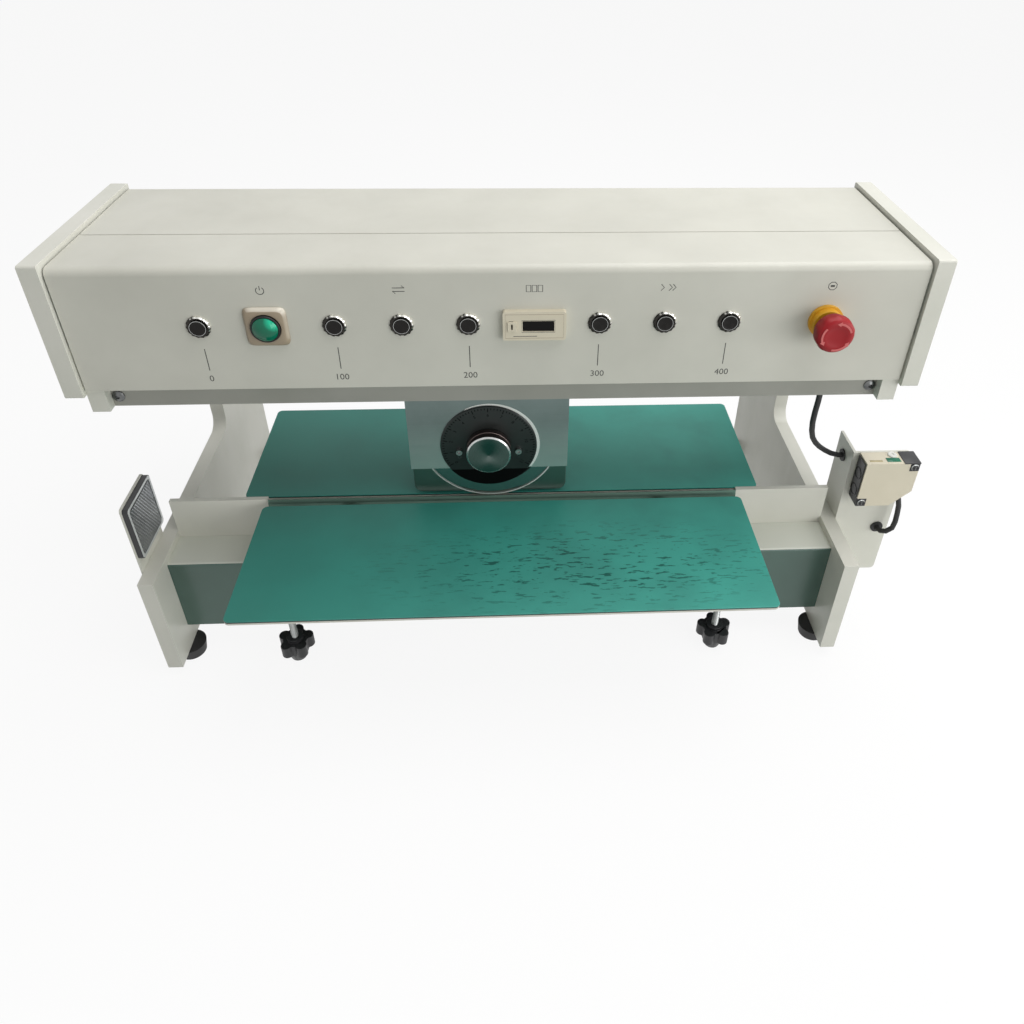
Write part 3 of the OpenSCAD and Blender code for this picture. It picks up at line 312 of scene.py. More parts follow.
def drawn_metal(name, colour, shade, along, roughness, line_mm=0.5, stain=0.35):
    """Metal with fine lines from brushing or grinding along one axis, and faint stains."""
    material, shader = new_material(name, Metallic=1.0)
    stretch = [1.0, 1.0, 1.0]
    stretch["XYZ".index(along)] = 0.02
    lines = noise(material, place_on(material, stretch), line_mm, detail=3.0)
    clouds = noise(material, place_on(material), 22, detail=5.0, roughness=0.6)
    stains = spread(material, clouds, (0.4, 0.8), (0, stain))
    tone = blend_colours(material, stains, colour, shade)
    feed(shader, {
        "Base Color": tone,
        "Roughness": spread(material, lines, (0.2, 0.8), (roughness - 0.06, roughness + 0.08)),
        "Normal": relief(material, lines, 0.012, 0.5),
    })
    return material


def turned_metal(name, colour, roughness, centre=(0, 0, 0), groove_mm=0.35, streak=0.7):
    """Metal turned on a lathe about an axis along Y: fine rings, and the bright bow-tie that
    they make of a lamp."""
    material, shader = new_material(name, Metallic=1.0, Anisotropic=streak)
    around = place_on(material, (1, 0, 1), centre)
    radius = add_node(material, "VectorMath", {0: around}, operation="LENGTH").outputs[1]
    rings = add_node(material, "TexNoise", {
        "W": radius,
        "Scale": 1000 / groove_mm,
        "Detail": 2.0,
    }, noise_dimensions="1D").outputs[0]
    tangent = add_node(material, "Tangent", direction_type="RADIAL", axis="Y")
    feed(shader, {
        "Base Color": linear(colour),
        "Roughness": spread(material, rings, (0.2, 0.8), (roughness - 0.05, roughness + 0.07)),
        "Normal": relief(material, rings, 0.006, 0.4),
        "Tangent": tangent.outputs[0],
    })
    return material


def plated(name, colour, roughness, shade="8d8f8e"):
    """Plated or polished steel: bright, with a slight haze of wear."""
    material, shader = new_material(name, Metallic=1.0)
    haze = noise(material, place_on(material), 5, detail=4.0)
    feed(shader, {
        "Base Color": blend_colours(material, haze, colour, shade),
        "Roughness": spread(material, haze, (0.3, 0.7), (roughness, roughness + 0.12)),
    })
    return material


def anodised(name, colour, shade):
    """Black anodised aluminium: a satin dark skin with a faint directional sheen."""
    material, shader = new_material(name, IOR=1.6, Metallic=0.35)
    lines = noise(material, place_on(material, (0.05, 1, 1)), 0.8, detail=2.0)
    clouds = noise(material, place_on(material), 14, detail=3.0)
    feed(shader, {
        "Base Color": blend_colours(material, clouds, colour, shade),
        "Roughness": spread(material, lines, (0.2, 0.8), (0.34, 0.48)),
        "Normal": relief(material, lines, 0.006, 0.4),
    })
    return material


def moulded(name, colour, shade, roughness=0.45, texture_mm=0.7, depth_mm=0.015, **inputs):
    """Moulded plastic or rubber: one colour through, with the mould's fine spark texture."""
    material, shader = new_material(name, IOR=1.53, **inputs)
    place = place_on(material)
    clouds = noise(material, place, 18, detail=3.0)
    grit = noise(material, place, texture_mm, detail=2.0)
    feed(shader, {
        "Base Color": blend_colours(material, clouds, colour, shade),
        "Roughness": spread(material, clouds, (0.3, 0.7), (roughness - 0.05, roughness + 0.08)),
        "Normal": relief(material, grit, depth_mm, 0.5),
    })
    return material


# Paints: warm light grey, with the orange peel and the hand marks of a used machine. The beams'
# darker greys are painted shade
paint = powder_coat("powder_coated_steel", "dad9cf", "d1d1c6")
panel_paint = powder_coat("powder_coated_cover", "cfcec3", "c7c6bb", gloss=0.44)
# The front beam's darker grey is painted shade from the cover above it
shaded_beam_coat = powder_coat("powder_coat_with_painted_shade", "a09f97", "96968d")
beam_coat_shaded_front = enamel_shade("beam_paint_with_painted_shade")
mat_rubber = bench_mat("antistatic_rubber_mat")

# Bare metals: grey faces whose fine lines stretch the highlights
plate_alloy = drawn_metal("brushed_aluminium_plate", "7f8a88", "66716f", "X", 0.46, line_mm=0.8)
# The head's darker teal-grey is painted shade under the front plate and a painted green reflection
# of the mats
shaded_head_alloy = drawn_metal("aluminium_head_with_painted_shade", "6f827b", "62746d", "X", 0.34, line_mm=0.8)
cast_alloy = drawn_metal("milled_aluminium", "a3aaa8", "8b9391", "X", 0.38)
raw_steel = drawn_metal("ground_steel", "9aa09f", "7f8685", "X", 0.3)
# The straight blade's dark green-grey is painted shade in the gap and a painted reflection of the
# mats
shaded_knife_steel = drawn_metal("knife_steel_with_painted_shade", "536a60", "46594f", "X", 0.42, line_mm=0.6)

# Plated and polished metals: small bright glints on screws, rims and edges
honed_edge = plated("honed_blade_edge", "e4e6e4", 0.2)
# Near-white finish for painted highlights on the dial's edge and the round blade's bevel
painted_highlight_finish = moulded("painted_edge_highlight", "f2f3ef", "e6e8e4", roughness=0.35, Metallic=0.25)
zinc = plated("zinc_plated_steel", "b7bab8", 0.28)
# The bezels' nickel is near black: a painted reflection of a dark room, not the metal's own
# brightness
nickel_painted_dark = plated("nickel_with_painted_reflection", "2a2927", 0.14, shade="3d3b38")
black_oxide = plated("black_oxide_steel", "2a2a2c", 0.25)

# Blacks: a satin dial, a flange that nearly swallows the light, dull rubber and nylon
dial_black = anodised("anodised_dial", "0f1413", "1f2624")
flange_black = anodised("black_flange", "020202", "050606")
black_rubber = moulded("black_rubber", "141415", "1c1c1d", roughness=0.6)
black_nylon = moulded("black_nylon", "17181a", "202123", roughness=0.42)
cast_iron = moulded("painted_motor_housing", "3c3e42", "34363a", roughness=0.5)

# Plastics: soft, even colours, and glossy clear parts that mirror the room
cream_abs = moulded("cream_abs", "dad2bd", "d1c9b3", roughness=0.4)
taupe_abs = moulded("taupe_abs", "a2937d", "998a75", roughness=0.45)
red_abs = moulded("red_abs", "a0121b", "8f0f17", roughness=0.42, Specular_IOR_Level=0.3)
yellow_abs = moulded("yellow_abs", "dba420", "d29b1c", roughness=0.4)
# The raised arrows are the head's red painted paler, as a highlight on the relief
paler_arrow_red = moulded("painted_highlight_arrows", "cf6a68", "c85f5e", roughness=0.4)
white_nylon = moulded("white_nylon", "e2e2dc", "d8d8d2", roughness=0.35)
green_lens = moulded(
    "green_acrylic_lens", "02553f", "047a5a",
    roughness=0.1, depth_mm=0.002, Specular_IOR_Level=0.3,
)
dark_glass = moulded(
    "smoked_acrylic_window", "050505", "080707",
    roughness=0.1, depth_mm=0.001, Specular_IOR_Level=0.12,
)
prism_plastic = moulded(
    "prismatic_acrylic", "b0b3b7", "7c7f83", roughness=0.16, depth_mm=0.001, Metallic=0.8,
)
clear_rim = moulded("clear_acrylic_rim", "c9cccb", "b4b8b8", roughness=0.2, Coat_Weight=0.5)
board_green = moulded("solder_mask", "1c5a35", "185030", roughness=0.3)

# Thin printed and engraved layers: flat and matt, so that they read as lines. The engraving's
# black also serves as painted shade on the dial
foil = moulded("bare_label_foil", "b3a67f", "a59770")
ink = moulded("screen_print_ink", "3c3d3a", "454643", roughness=0.55)
engraving_and_shade = moulded(
    "engraved_lines_and_painted_shade", "020303", "060707", roughness=0.6, Specular_IOR_Level=0.05,
)

# Faces that turn up to the lamps get a painted highlight; the red head gets painted shade on faces
# turned back and down
tint(nickel_painted_dark, facing(nickel_painted_dark, (0.62, -0.2, 0.76), (0.35, 0.75)), "f4f3ec")
tint(green_lens, facing(green_lens, (0.55, -0.7, 0.5), (0.84, 0.97)), "19b98f")
tint(taupe_abs, facing(taupe_abs, (0.5, -0.2, 0.8), (0.45, 0.9)), "f0e9da")
tint(red_abs, facing(red_abs, (0, 1, -0.5), (-0.6, 0.4)), "6a0a10")
# The front plate picks up light from the mats, so it pales over its lowest 50 mm
plate_z = low("carriage_front_plate").z
tint(plate_alloy, height_share(plate_alloy, plate_z + 50 * MM, plate_z), "a9b8b3")

# Pieces ---------------------------------------------------------------------------


def finish(mesh, material):
    """Gives a mesh one material and no other."""
    mesh.materials.clear()
    mesh.materials.append(material)


def mesh_from(shape, name):
    """Turns a finished bmesh into a mesh and frees it."""
    mesh = bpy.data.meshes.new(name)
    shape.to_mesh(mesh)
    shape.free()
    return mesh


def as_seen(holder):
    """The mesh of an object with its curve or its modifiers worked out."""
    return bpy.data.meshes.new_from_object(
        holder.evaluated_get(bpy.context.evaluated_depsgraph_get())
    )


def add_piece(name, mesh, material, body, smooth_angle=None):
    """Puts a mesh in the scene as a piece of one material that rides on a body."""
    piece = bpy.data.objects.new(name, mesh)
    bpy.context.scene.collection.objects.link(piece)
    finish(mesh, material)
    if smooth_angle:
        for polygon in mesh.polygons:
            polygon.use_smooth = True
        mesh.set_sharp_from_angle(angle=math.radians(smooth_angle))
    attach(piece, body)
    return piece


def body_of(node):
    """The body that a CAD node belongs to."""
    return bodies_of(frame["nodes"][node])[0]


def slot_of(node):
    """The material slot that the record gives a CAD node."""
    for part in frame["record"]["subparts"]:
        if part["node"] == node:
            return part["material_slot"]


def softened(node, width_mm, material, segments=2):
    """The CAD node's own shape with its sharp edges broken, as paint and deburring leave them."""
    source = frame["nodes"][node].data
    shape = bmesh.new()
    shape.from_mesh(source)
    bmesh.ops.remove_doubles(shape, verts=shape.verts, dist=1e-6)
    bmesh.ops.dissolve_limit(
        shape, angle_limit=math.radians(0.5), verts=shape.verts, edges=shape.edges
    )
    mesh = mesh_from(shape, node + "_softened")
    piece = add_piece(node + "_finish", mesh, material, body_of(node))
    edge = piece.modifiers.new("edge", "BEVEL")
    edge.width = width_mm * MM
    edge.segments = segments
    edge.limit_method = "ANGLE"
    edge.angle_limit = math.radians(40)
    edge.harden_normals = False
    fixed = as_seen(piece)
    piece.modifiers.clear()
    piece.data = fixed
    for polygon in fixed.polygons:
        polygon.use_smooth = True
    fixed.set_sharp_from_angle(angle=math.radians(25))
    # Flat faces stay flat and only their broken edges catch the light
    flat = piece.modifiers.new("flat", "WEIGHTED_NORMAL")
    flat.keep_sharp = True
    flat.weight = 80
    piece.data = as_seen(piece)
    piece.modifiers.clear()
    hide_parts(node)


def loft(loops, closed=False):
    """A skin through rings of equally many points; a ring of one point closes an end.
    A closed skin joins its last ring to its first."""
    shape = bmesh.new()
    rings = [[shape.verts.new(point) for point in loop] for loop in loops]
    pairs = list(zip(rings, rings[1:]))
    if closed:
        pairs.append((rings[-1], rings[0]))
    for a, b in pairs:
        for i in range(max(len(a), len(b))):
            j = (i + 1) % max(len(a), len(b))
            corners = [a[i % len(a)], a[j % len(a)], b[j % len(b)], b[i % len(b)]]
            shape.faces.new(list(dict.fromkeys(corners)))
    if not closed:
        for ring in (rings[0], rings[-1]):
            if len(ring) > 2:
                shape.faces.new(ring)
    bmesh.ops.recalc_face_normals(shape, faces=shape.faces)
    return mesh_from(shape, "loft")


def ring_at(depth, steps, radius_at):
    """Points round the Y axis at a depth; radius_at gives the radius for each angle."""
    points = []
    for i in range(steps):
        angle = 2 * math.pi * i / steps
        r = radius_at(angle) * MM
        points.append((r * math.cos(angle), depth * MM, r * math.sin(angle)))
    return points


def turned_mesh(profile, steps=72, wave=None, closed=False):
    """A solid of revolution about the Y axis. The profile gives radius and depth in
    millimetres; wave(angle, radius, depth) changes a radius."""
    loops = []
    for radius, depth in profile:
        if radius == 0:
            loops.append([(0, depth * MM, 0)])
            continue
        loops.append(ring_at(
            depth, steps, lambda angle: wave(angle, radius, depth) if wave else radius
        ))
    return loft(loops, closed)


def turned(name, profile, centre, material, body, slot, steps=72, wave=None, closed=False):
    """A turned piece whose axis runs along Y through centre."""
    mesh = turned_mesh(profile, steps, wave, closed)
    piece = add_piece(name, mesh, material, body, smooth_angle=28)
    piece.location = centre
    return piece


def moved(mesh, place):
    """The same mesh shifted by place."""
    mesh.transform(Matrix.Translation(place))
    return mesh


def block(low_mm, high_mm, round_mm=0.3):
    """A box between two corners in millimetres, with its edges rounded."""
    shape = bmesh.new()
    bmesh.ops.create_cube(shape, size=1)
    size = Vector(high_mm) - Vector(low_mm)
    centre = (Vector(high_mm) + Vector(low_mm)) / 2
    for vert in shape.verts:
        vert.co = Vector(a * b for a, b in zip(vert.co, size)) + centre
        vert.co *= MM
    bmesh.ops.bevel(
        shape, geom=shape.edges[:], offset=round_mm * MM, segments=2, affect="EDGES", profile=0.5
    )
    return mesh_from(shape, "block")


def join_meshes(name, meshes):
    """One mesh out of several."""
    shape = bmesh.new()
    for mesh in meshes:
        shape.from_mesh(mesh)
    return mesh_from(shape, name)


def ribbon(points, width, thick, closed=False):
    """A thin printed line in X and Z through the points, its back at Y zero."""
    shape = bmesh.new()
    count = len(points)
    rows = []
    for i, point in enumerate(points):
        before = points[i - 1] if i or closed else point
        after = points[(i + 1) % count] if i < count - 1 or closed else point
        along = (Vector(after) - Vector(before)).normalized()
        side = Vector((-along.y, along.x)) * width / 2
        rows.append([
            shape.verts.new((point[0] + s * side.x, y, point[1] + s * side.y))
            for s, y in ((-1, 0), (1, 0), (1, -thick), (-1, -thick))
        ])
    pairs = list(zip(rows, rows[1:]))
    if closed:
        pairs.append((rows[-1], rows[0]))
    for a, b in pairs:
        for i in range(4):
            j = (i + 1) % 4
            shape.faces.new((a[i], a[j], b[j], b[i]))
    if not closed:
        shape.faces.new(rows[0])
        shape.faces.new(reversed(rows[-1]))
    bmesh.ops.recalc_face_normals(shape, faces=shape.faces)
    return mesh_from(shape, "ribbon")


def numeral(text, size, thick):
    """A plain number as a thin mesh in X and Z, centred, its back at Y zero."""
    curve = bpy.data.curves.new("numeral", "FONT")
    curve.body = text
    curve.size = size
    curve.align_x = "CENTER"
    curve.align_y = "CENTER"
    curve.extrude = thick / 2
    curve.resolution_u = 3
    holder = bpy.data.objects.new("numeral", curve)
    bpy.context.scene.collection.objects.link(holder)
    bpy.context.view_layer.update()
    mesh = as_seen(holder)
    bpy.data.objects.remove(holder)
    mesh.transform(Matrix.Rotation(math.pi / 2, 4, "X") @ Matrix.Translation((0, 0, thick / 2)))
    return mesh


def arc(radius, start, end, steps=24):
    """Points in X and Z on an arc, angles in degrees."""
    angles = [math.radians(start + (end - start) * i / steps) for i in range(steps + 1)]
    return [(radius * math.cos(a), radius * math.sin(a)) for a in angles]


def front_of(node, y=None):
    """The middle of a CAD node in X and Z, at its front or at a given Y."""
    return Vector((middle(node).x, low(node).y if y is None else y, middle(node).z))


def metres(points):
    """Points given in millimetres, in metres."""
    return [tuple(p * MM for p in point) for point in points]


def flat_shape(points_mm, y_front_mm, y_back_mm):
    """A thin plate whose outline lies in X and Z."""
    return loft([metres([(x, y, z) for x, z in points_mm]) for y in (y_front_mm, y_back_mm)])


# Sensor cable: the route of the CAD tube, in metres ------------------------------------

shift = Vector((-21, -122, 0)) * MM
route_mm = [
    (270, 24, 292), (270, 24, 286), (270, 24, 276), (270, 25, 264), (271, 27, 252),
    (274, 31, 240), (279, 37, 228), (286, 44, 217), (294, 51, 207), (303, 57, 198),
    (312, 61, 191), (320, 62, 188), (326, 62, 188), (332, 62, 187), (339, 61, 182),
    (345, 60, 174), (350, 59, 164), (355, 58, 152), (360, 57, 140), (364, 56, 128),
    (367, 54, 118), (369, 50, 112), (369, 45, 112), (369, 40, 112), (370, 35, 113),
    (373, 31, 116), (377, 29, 122), (378, 29, 130), (378, 30, 139), (378, 32, 148),
    (376, 33, 156), (374, 34, 161), (372, 34, 164),
]
route = [Vector(point) * MM + shift for point in route_mm]
cable_mm = 5
cable_curve = bpy.data.curves.new("cable", "CURVE")
cable_curve.dimensions = "3D"
cable_curve.bevel_depth = cable_mm / 2 * MM
cable_curve.bevel_resolution = 6
cable_curve.use_fill_caps = True
strand = cable_curve.splines.new("POLY")
strand.points.add(len(route) - 1)
for point, position in zip(strand.points, route):
    point.co = (*position, 1)
cable_curve.materials.append(black_rubber)
cable = bpy.data.objects.new("sensor_cable_jacket", cable_curve)
bpy.context.scene.collection.objects.link(cable)
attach(cable, body_of("sensor_cable"))
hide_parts("sensor_cable")


# CAD nodes that keep their shape --------------------------------------------------------

kept = {
    "rubber_feet": black_rubber,
    "frame_screws": black_oxide,
    "linear_blade": shaded_knife_steel,
    "platform_supports": paint,
    "guide_beam": cast_alloy,
    "linear_rail": raw_steel,
    "belt_brackets": cast_alloy,
    "motor": cast_iron,
    "drive_pulley": cast_alloy,
    "idler_pulley": cast_alloy,
    "drive_belt": black_rubber,
    "control_electronics": board_green,
    "power_inlet": black_nylon,
    "counter_window": dark_glass,
    "stop_stem": black_nylon,
    "cable_grommets": black_rubber,
    "guide_blocks": raw_steel,
    "belt_clamp": cast_alloy,
    "scale_screws": zinc,
    "height_axle": raw_steel,
    "blade_bearing": zinc,
}
for node, material in kept.items():
    finish(frame["nodes"][node].data, material)

# Sheet and plate pieces, each with the edge that its paint or milling leaves, in millimetres
softened_nodes = {
    "side_plate_left": (0.8, paint),
    "side_plate_right": (0.8, paint),
    "end_plates": (0.8, paint),
    "front_cover": (0.4, panel_paint),
    "rear_cover": (0.4, panel_paint),
    "base_beam": (0.6, beam_coat_shaded_front),
    "knife_bar": (0.5, paint),
    "front_beam": (0.6, shaded_beam_coat),
    "platform_plates": (0.4, paint),
    "platform_mats": (0.3, mat_rubber),
    "reflector_holder": (0.4, paint),
    "sensor_bracket": (0.5, paint),
    "carriage_head": (0.8, shaded_head_alloy),
    "carriage_front_plate": (0.4, plate_alloy),
    "scale_plate": (0.1, dial_black),
    "star_foot_left": (0.8, black_nylon),
    "star_foot_right": (0.8, black_nylon),
    "counter_body": (0.5, cream_abs),
    "counter_key": (0.3, cream_abs),
    "sensor_body": (0.5, cream_abs),
    "sensor_trim": (0.3, black_nylon),
    "reflector": (0.3, black_nylon),
    "stop_collar": (0.3, yellow_abs),
    "blade_hub": (0.2, flange_black),
}
for node, (width, material) in softened_nodes.items():
    softened(node, width, material)

rotary_centre = middle("rotary_blade")
blade_turned = turned_metal("ground_round_blade", "8f9896", 0.2, rotary_centre, streak=0.5)
finish(frame["nodes"]["rotary_blade"].data, blade_turned)

# Height knob -------------------------------------------------------------------------

spun_knob = turned_metal("turned_steel_knob", "5d6a66", 0.26, streak=0.85)
# The knob's side is a darker brown-grey: painted shade and a painted reflection
knob_side_shaded = turned_metal("knob_side_with_painted_shade", "6b5f5c", 0.34, groove_mm=0.6, streak=0.6)
knob_centre = front_of("height_knob")
knob_place = (body_of("height_knob"), slot_of("height_knob"))
knob = turned(
    "height_knob_turned",
    [
        (0, 0.3), (17.9, 0.3), (18.3, 0.5), (19.4, 1.3), (19.5, 1.6), (19.5, 6.4),
        (19.1, 6.6), (18.9, 7.0), (19.1, 7.4), (19.5, 7.6), (19.5, 12.6), (19.1, 13.2), (0, 13.2),
    ],
    knob_centre, knob_side_shaded, *knob_place, steps=128,
)
turned(
    "height_knob_face", [(0, 0.35), (0.9, 0.0), (17.9, 0.0), (17.9, 0.5), (0, 0.5)],
    knob_centre, spun_knob, *knob_place, steps=128,
)
turned(
    "height_knob_rim",
    [(17.95, 0.5), (17.95, 0.02), (18.3, 0.02), (19.45, 1.0), (19.5, 1.5), (18.4, 1.2)],
    knob_centre, honed_edge, *knob_place, steps=128, closed=True,
)
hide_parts("height_knob")

# Push buttons ------------------------------------------------------------------------

panel_y = low("front_cover").y
button_nodes = [
    "stroke_button_0", "stroke_button_100", "mode_button", "stroke_button_200",
    "stroke_button_300", "speed_button", "stroke_button_400",
]
# The caps' steel is near black: a painted reflection of a dark room
cap_steel_painted_dark = turned_metal("spun_cap_with_painted_reflection", "2a2928", 0.26, groove_mm=0.3, streak=0.8)
for node in button_nodes:
    face = front_of(node)
    cap = turned(
        node + "_cap",
        [
            (0, 0.55), (2.0, 0.48), (4.0, 0.3), (4.9, 0.15), (5.3, 0.0), (5.7, 0.05), (6.1, 0.4),
            (6.2, 0.7), (6.2, 18.1), (0, 18.1),
        ],
        face, cap_steel_painted_dark, body_of(node), slot_of(node),
    )
    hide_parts(node)
    turned(
        node + "_rim", [(5.75, 0.3), (5.85, -0.05), (6.1, -0.05), (6.2, 0.4)],
        face, honed_edge, body_of(node), slot_of(node), closed=True,
    )


def scallops(angle, radius, depth):
    """The bezel's edge is cut with flats that a ring spanner grips."""
    if radius > 8.7 and depth < 0:
        return radius * (1 + 0.03 * math.cos(14 * angle))
    return radius


bezel_meshes = []
for node in button_nodes:
    face = front_of(node, panel_y)
    ring = turned_mesh(
        [
            (6.35, 15), (6.35, -1.5), (6.6, -1.9), (7.3, -2.0), (7.9, -1.95), (8.75, -1.2),
            (8.95, -0.5), (8.95, 0), (7.95, 0), (7.95, 27),
        ],
        steps=112, wave=scallops, closed=True,
    )
    nut = turned_mesh(
        [(8.0, 2), (10.6, 2.0), (11, 2.3), (11, 4.9), (8.0, 5)], steps=6, closed=True
    )
    bezel_meshes += [moved(ring, face), moved(nut, face)]
bezels = add_piece(
    "button_bezels_scalloped", join_meshes("bezels", bezel_meshes), nickel_painted_dark,
    body_of("button_bezels"), smooth_angle=30,
)
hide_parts("button_bezels")

# Power switch ------------------------------------------------------------------------


def round_square(half, corner, depth, steps=64):
    """A ring of points on a square with round corners, in millimetres."""
    power = 2 + 1.2 * half / corner
    return ring_at(depth, steps, lambda a: half / (
        abs(math.cos(a)) ** power + abs(math.sin(a)) ** power
    ) ** (1 / power))


def circle_ring(radius, depth, steps=64):
    """A ring of points on a circle, in millimetres."""
    return ring_at(depth, steps, lambda angle: radius)


power_face = front_of("power_bezel", panel_y)
power_frame = add_piece(
    "power_bezel_frame",
    moved(loft([
        circle_ring(11, 27), round_square(11, 9, 0), round_square(15.7, 3, 0),
        round_square(15.9, 3, -0.4), round_square(15.8, 3, -1.4), round_square(14.0, 3, -3.8),
        round_square(13.6, 3, -4.0), circle_ring(11.6, -4.0), circle_ring(11.2, -3.6),
        circle_ring(10.9, 27),
    ], closed=True), power_face),
    taupe_abs, body_of("power_bezel"), smooth_angle=35,
)
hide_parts("power_bezel")
turned(
    "power_lens_ring",
    [
        (9.65, 14), (9.65, -5.6), (9.9, -5.9), (10.7, -5.9), (11.1, -5.4), (11.15, -3.0),
        (10.85, 14),
    ],
    power_face, flange_black, body_of("power_bezel"), "black_plastic", closed=True,
)
finish(frame["nodes"]["power_lens"].data, green_lens)

# Emergency stop ------------------------------------------------------------------------


def grips(angle, radius, depth):
    """Shallow finger grips round the head."""
    if radius > 14 and depth < 12:
        return radius * (1 - 0.014 * (1 + math.cos(10 * angle)))
    return radius


stop_centre = front_of("stop_button")
stop_head = turned(
    "stop_head",
    [
        (0, 1.1), (4, 1.0), (7.6, 0.5), (8.6, 0.1), (10.5, 0.1), (12.4, 0.7), (13.8, 1.9),
        (14.7, 3.6), (15, 5.4), (14.9, 8.0), (14.4, 11.0), (13.2, 13.6), (11.6, 14.7), (5.8, 15),
        (5.7, 9.2), (0, 9.2),
    ],
    stop_centre, red_abs, body_of("stop_button"), slot_of("stop_button"), steps=120, wave=grips,
)
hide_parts("stop_button")
arrow_meshes = []
arrow_angle = 62
for start in (20, 140, 260):
    end = start + arrow_angle
    arrow_meshes.append(ribbon(metres(arc(11.0, start, end)), 1.5 * MM, 0.25 * MM))
    tip = [arc(12.9, end, end, 1)[0], arc(11.0, end, end + 16, 2)[2], arc(9.1, end, end, 1)[0]]
    arrow_meshes.append(flat_shape(tip, 0, -0.25))
arrows = add_piece(
    "stop_arrows", join_meshes("arrows", arrow_meshes), paler_arrow_red,
    body_of("stop_button"),
)
arrows.location = stop_centre + Vector((0, 0.15 * MM, 0))

# Printed marks on the front cover ----------------------------------------------------------

ink_thick = 0.04 * MM
print_meshes = []
control_z = middle("stroke_button_0").z
for stroke in (0, 100, 200, 300, 400):
    x = middle(f"stroke_button_{stroke}").x
    tick = [(x, control_z - 19 * MM), (x, control_z - 38 * MM)]
    print_meshes.append(ribbon(tick, 0.7 * MM, ink_thick))
    mark = numeral(str(stroke), 7.5 * MM, ink_thick)
    print_meshes.append(moved(mark, (x, 0, control_z - 45.5 * MM)))

sign_rise = 29


def sign(x, strokes, width=0.6, closed=False):
    """Adds lines in millimetres about a point above the control at x."""
    for line in strokes:
        line = [(x + px * MM, control_z + (sign_rise + pz) * MM) for px, pz in line]
        print_meshes.append(ribbon(line, width * MM, ink_thick, closed))


# Plain signs: on and off, to and fro, a row of counter wheels, two speeds, stop
power_sign_x = middle("power_bezel").x
sign(power_sign_x, [arc(2.9, 125, 415), [(0, 0.4), (0, 3.8)]])
mode_x = middle("mode_button").x
sign(mode_x, [
    [(-4.5, 1.4), (4.5, 1.4), (2.4, 3.2)],
    [(4.5, -1.4), (-4.5, -1.4), (-2.4, -3.2)],
])
counter_x = middle("counter_body").x
wheel = [(-1.7, -2.6), (1.7, -2.6), (1.7, 2.6), (-1.7, 2.6)]
for i in (-1, 0, 1):
    sign(counter_x + i * 4.4 * MM, [wheel], closed=True)
speed_x = middle("speed_button").x
for offset in (-5.4, 0.6, 3.4):
    sign(speed_x, [[(offset, -2.6), (offset + 2.4, 0), (offset, 2.6)]])
sign(stop_centre.x, [arc(3.4, 22.5, 337.5, 7)], closed=True)
sign(stop_centre.x, [[(-1.6, 0), (1.6, 0)]], width=1.6)
marks = add_piece(
    "panel_print", join_meshes("print", print_meshes), ink, body_of("front_cover")
)
marks.location = (0, panel_y + 0.005 * MM, 0)

# Scale plate: engraved lines and plain numbers, and the two tapped holes ---------------------

scale_centre = Vector((middle("scale_plate").x, low("scale_plate").y, rotary_centre.z))
scale_meshes = []
for i in range(61):
    line = [arc(r, 4 * i - 30, 4 * i - 30, 1)[0] for r in (37.0 if i % 5 == 0 else 39.2, 41.0)]
    scale_meshes.append(ribbon(metres(line), 0.7 * MM, ink_thick))
for i in range(13):
    angle = 210 - 20 * i
    x, z = arc(33.6, angle, angle, 1)[0]
    mark = numeral(str(i), 4.2 * MM, ink_thick)
    mark.transform(Matrix.Rotation(-math.radians(angle - 90), 4, "Y"))
    scale_meshes.append(moved(mark, (x * MM, 0, z * MM)))
scale_marks = add_piece(
    "scale_engraving", join_meshes("scale", scale_meshes), engraving_and_shade,
    body_of("scale_plate"),
)
scale_marks.location = scale_centre
hole_profile = [(1.5, 0.4), (1.5, -0.03), (1.2, -0.03), (1.1, 0.4)]
hole_meshes = [
    moved(turned_mesh(hole_profile, 24, closed=True), (x * MM, 0, -11 * MM))
    for x in (-26.3, 26.3)
]
holes = add_piece(
    "scale_tapped_holes", join_meshes("holes", hole_meshes), black_oxide,
    body_of("scale_plate"), smooth_angle=30,
)
holes.location = scale_centre

# A painted highlight round the dial, wider on the right, and the blade's ground bevel painted as a
# highlight
highlight_points = [(x + 1.3, z + 0.3) for x, z in arc(44.1, -34, 118, 48)]
highlight_points += reversed(arc(42.7, -34, 118, 48))
dial_highlight = add_piece(
    "dial_painted_highlight", flat_shape(highlight_points, -0.25, -0.02), painted_highlight_finish,
    body_of("scale_plate"),
)
dial_highlight.location = (scale_centre.x, low("carriage_front_plate").y, scale_centre.z)
# Below the front plate's edge nothing lights the dial, so a black segment there is painted shade
dial_radius = 42.7
half_angle = math.degrees(math.acos((scale_centre.z - plate_z) / MM / dial_radius))
segment = add_piece(
    "dial_painted_shade",
    flat_shape(arc(dial_radius, 270 - half_angle, 270 + half_angle, 40), -0.03, 0.02),
    engraving_and_shade, body_of("scale_plate"),
)
segment.location = scale_centre
turned(
    "blade_bevel", [(60.4, 0.0), (61.9, 0.9), (61.9, 1.2), (60.4, 0.4)],
    front_of("rotary_blade") - Vector((0, 0.06 * MM, 0)),
    painted_highlight_finish, body_of("rotary_blade"), slot_of("rotary_blade"), steps=128, closed=True,
)

# Counter: printed lines under its window, and a painted shadow round its face ------------------

counter_front = front_of("counter_body")
window_line = [(-9.6, -5.1), (15.6, -5.1), (15.6, 5.1), (-9.6, 5.1)]
counter_meshes = [
    ribbon(metres([(-16, -8.4), (2, -8.4)]), 0.5 * MM, ink_thick),
    ribbon(metres(window_line), 0.35 * MM, ink_thick, closed=True),
]
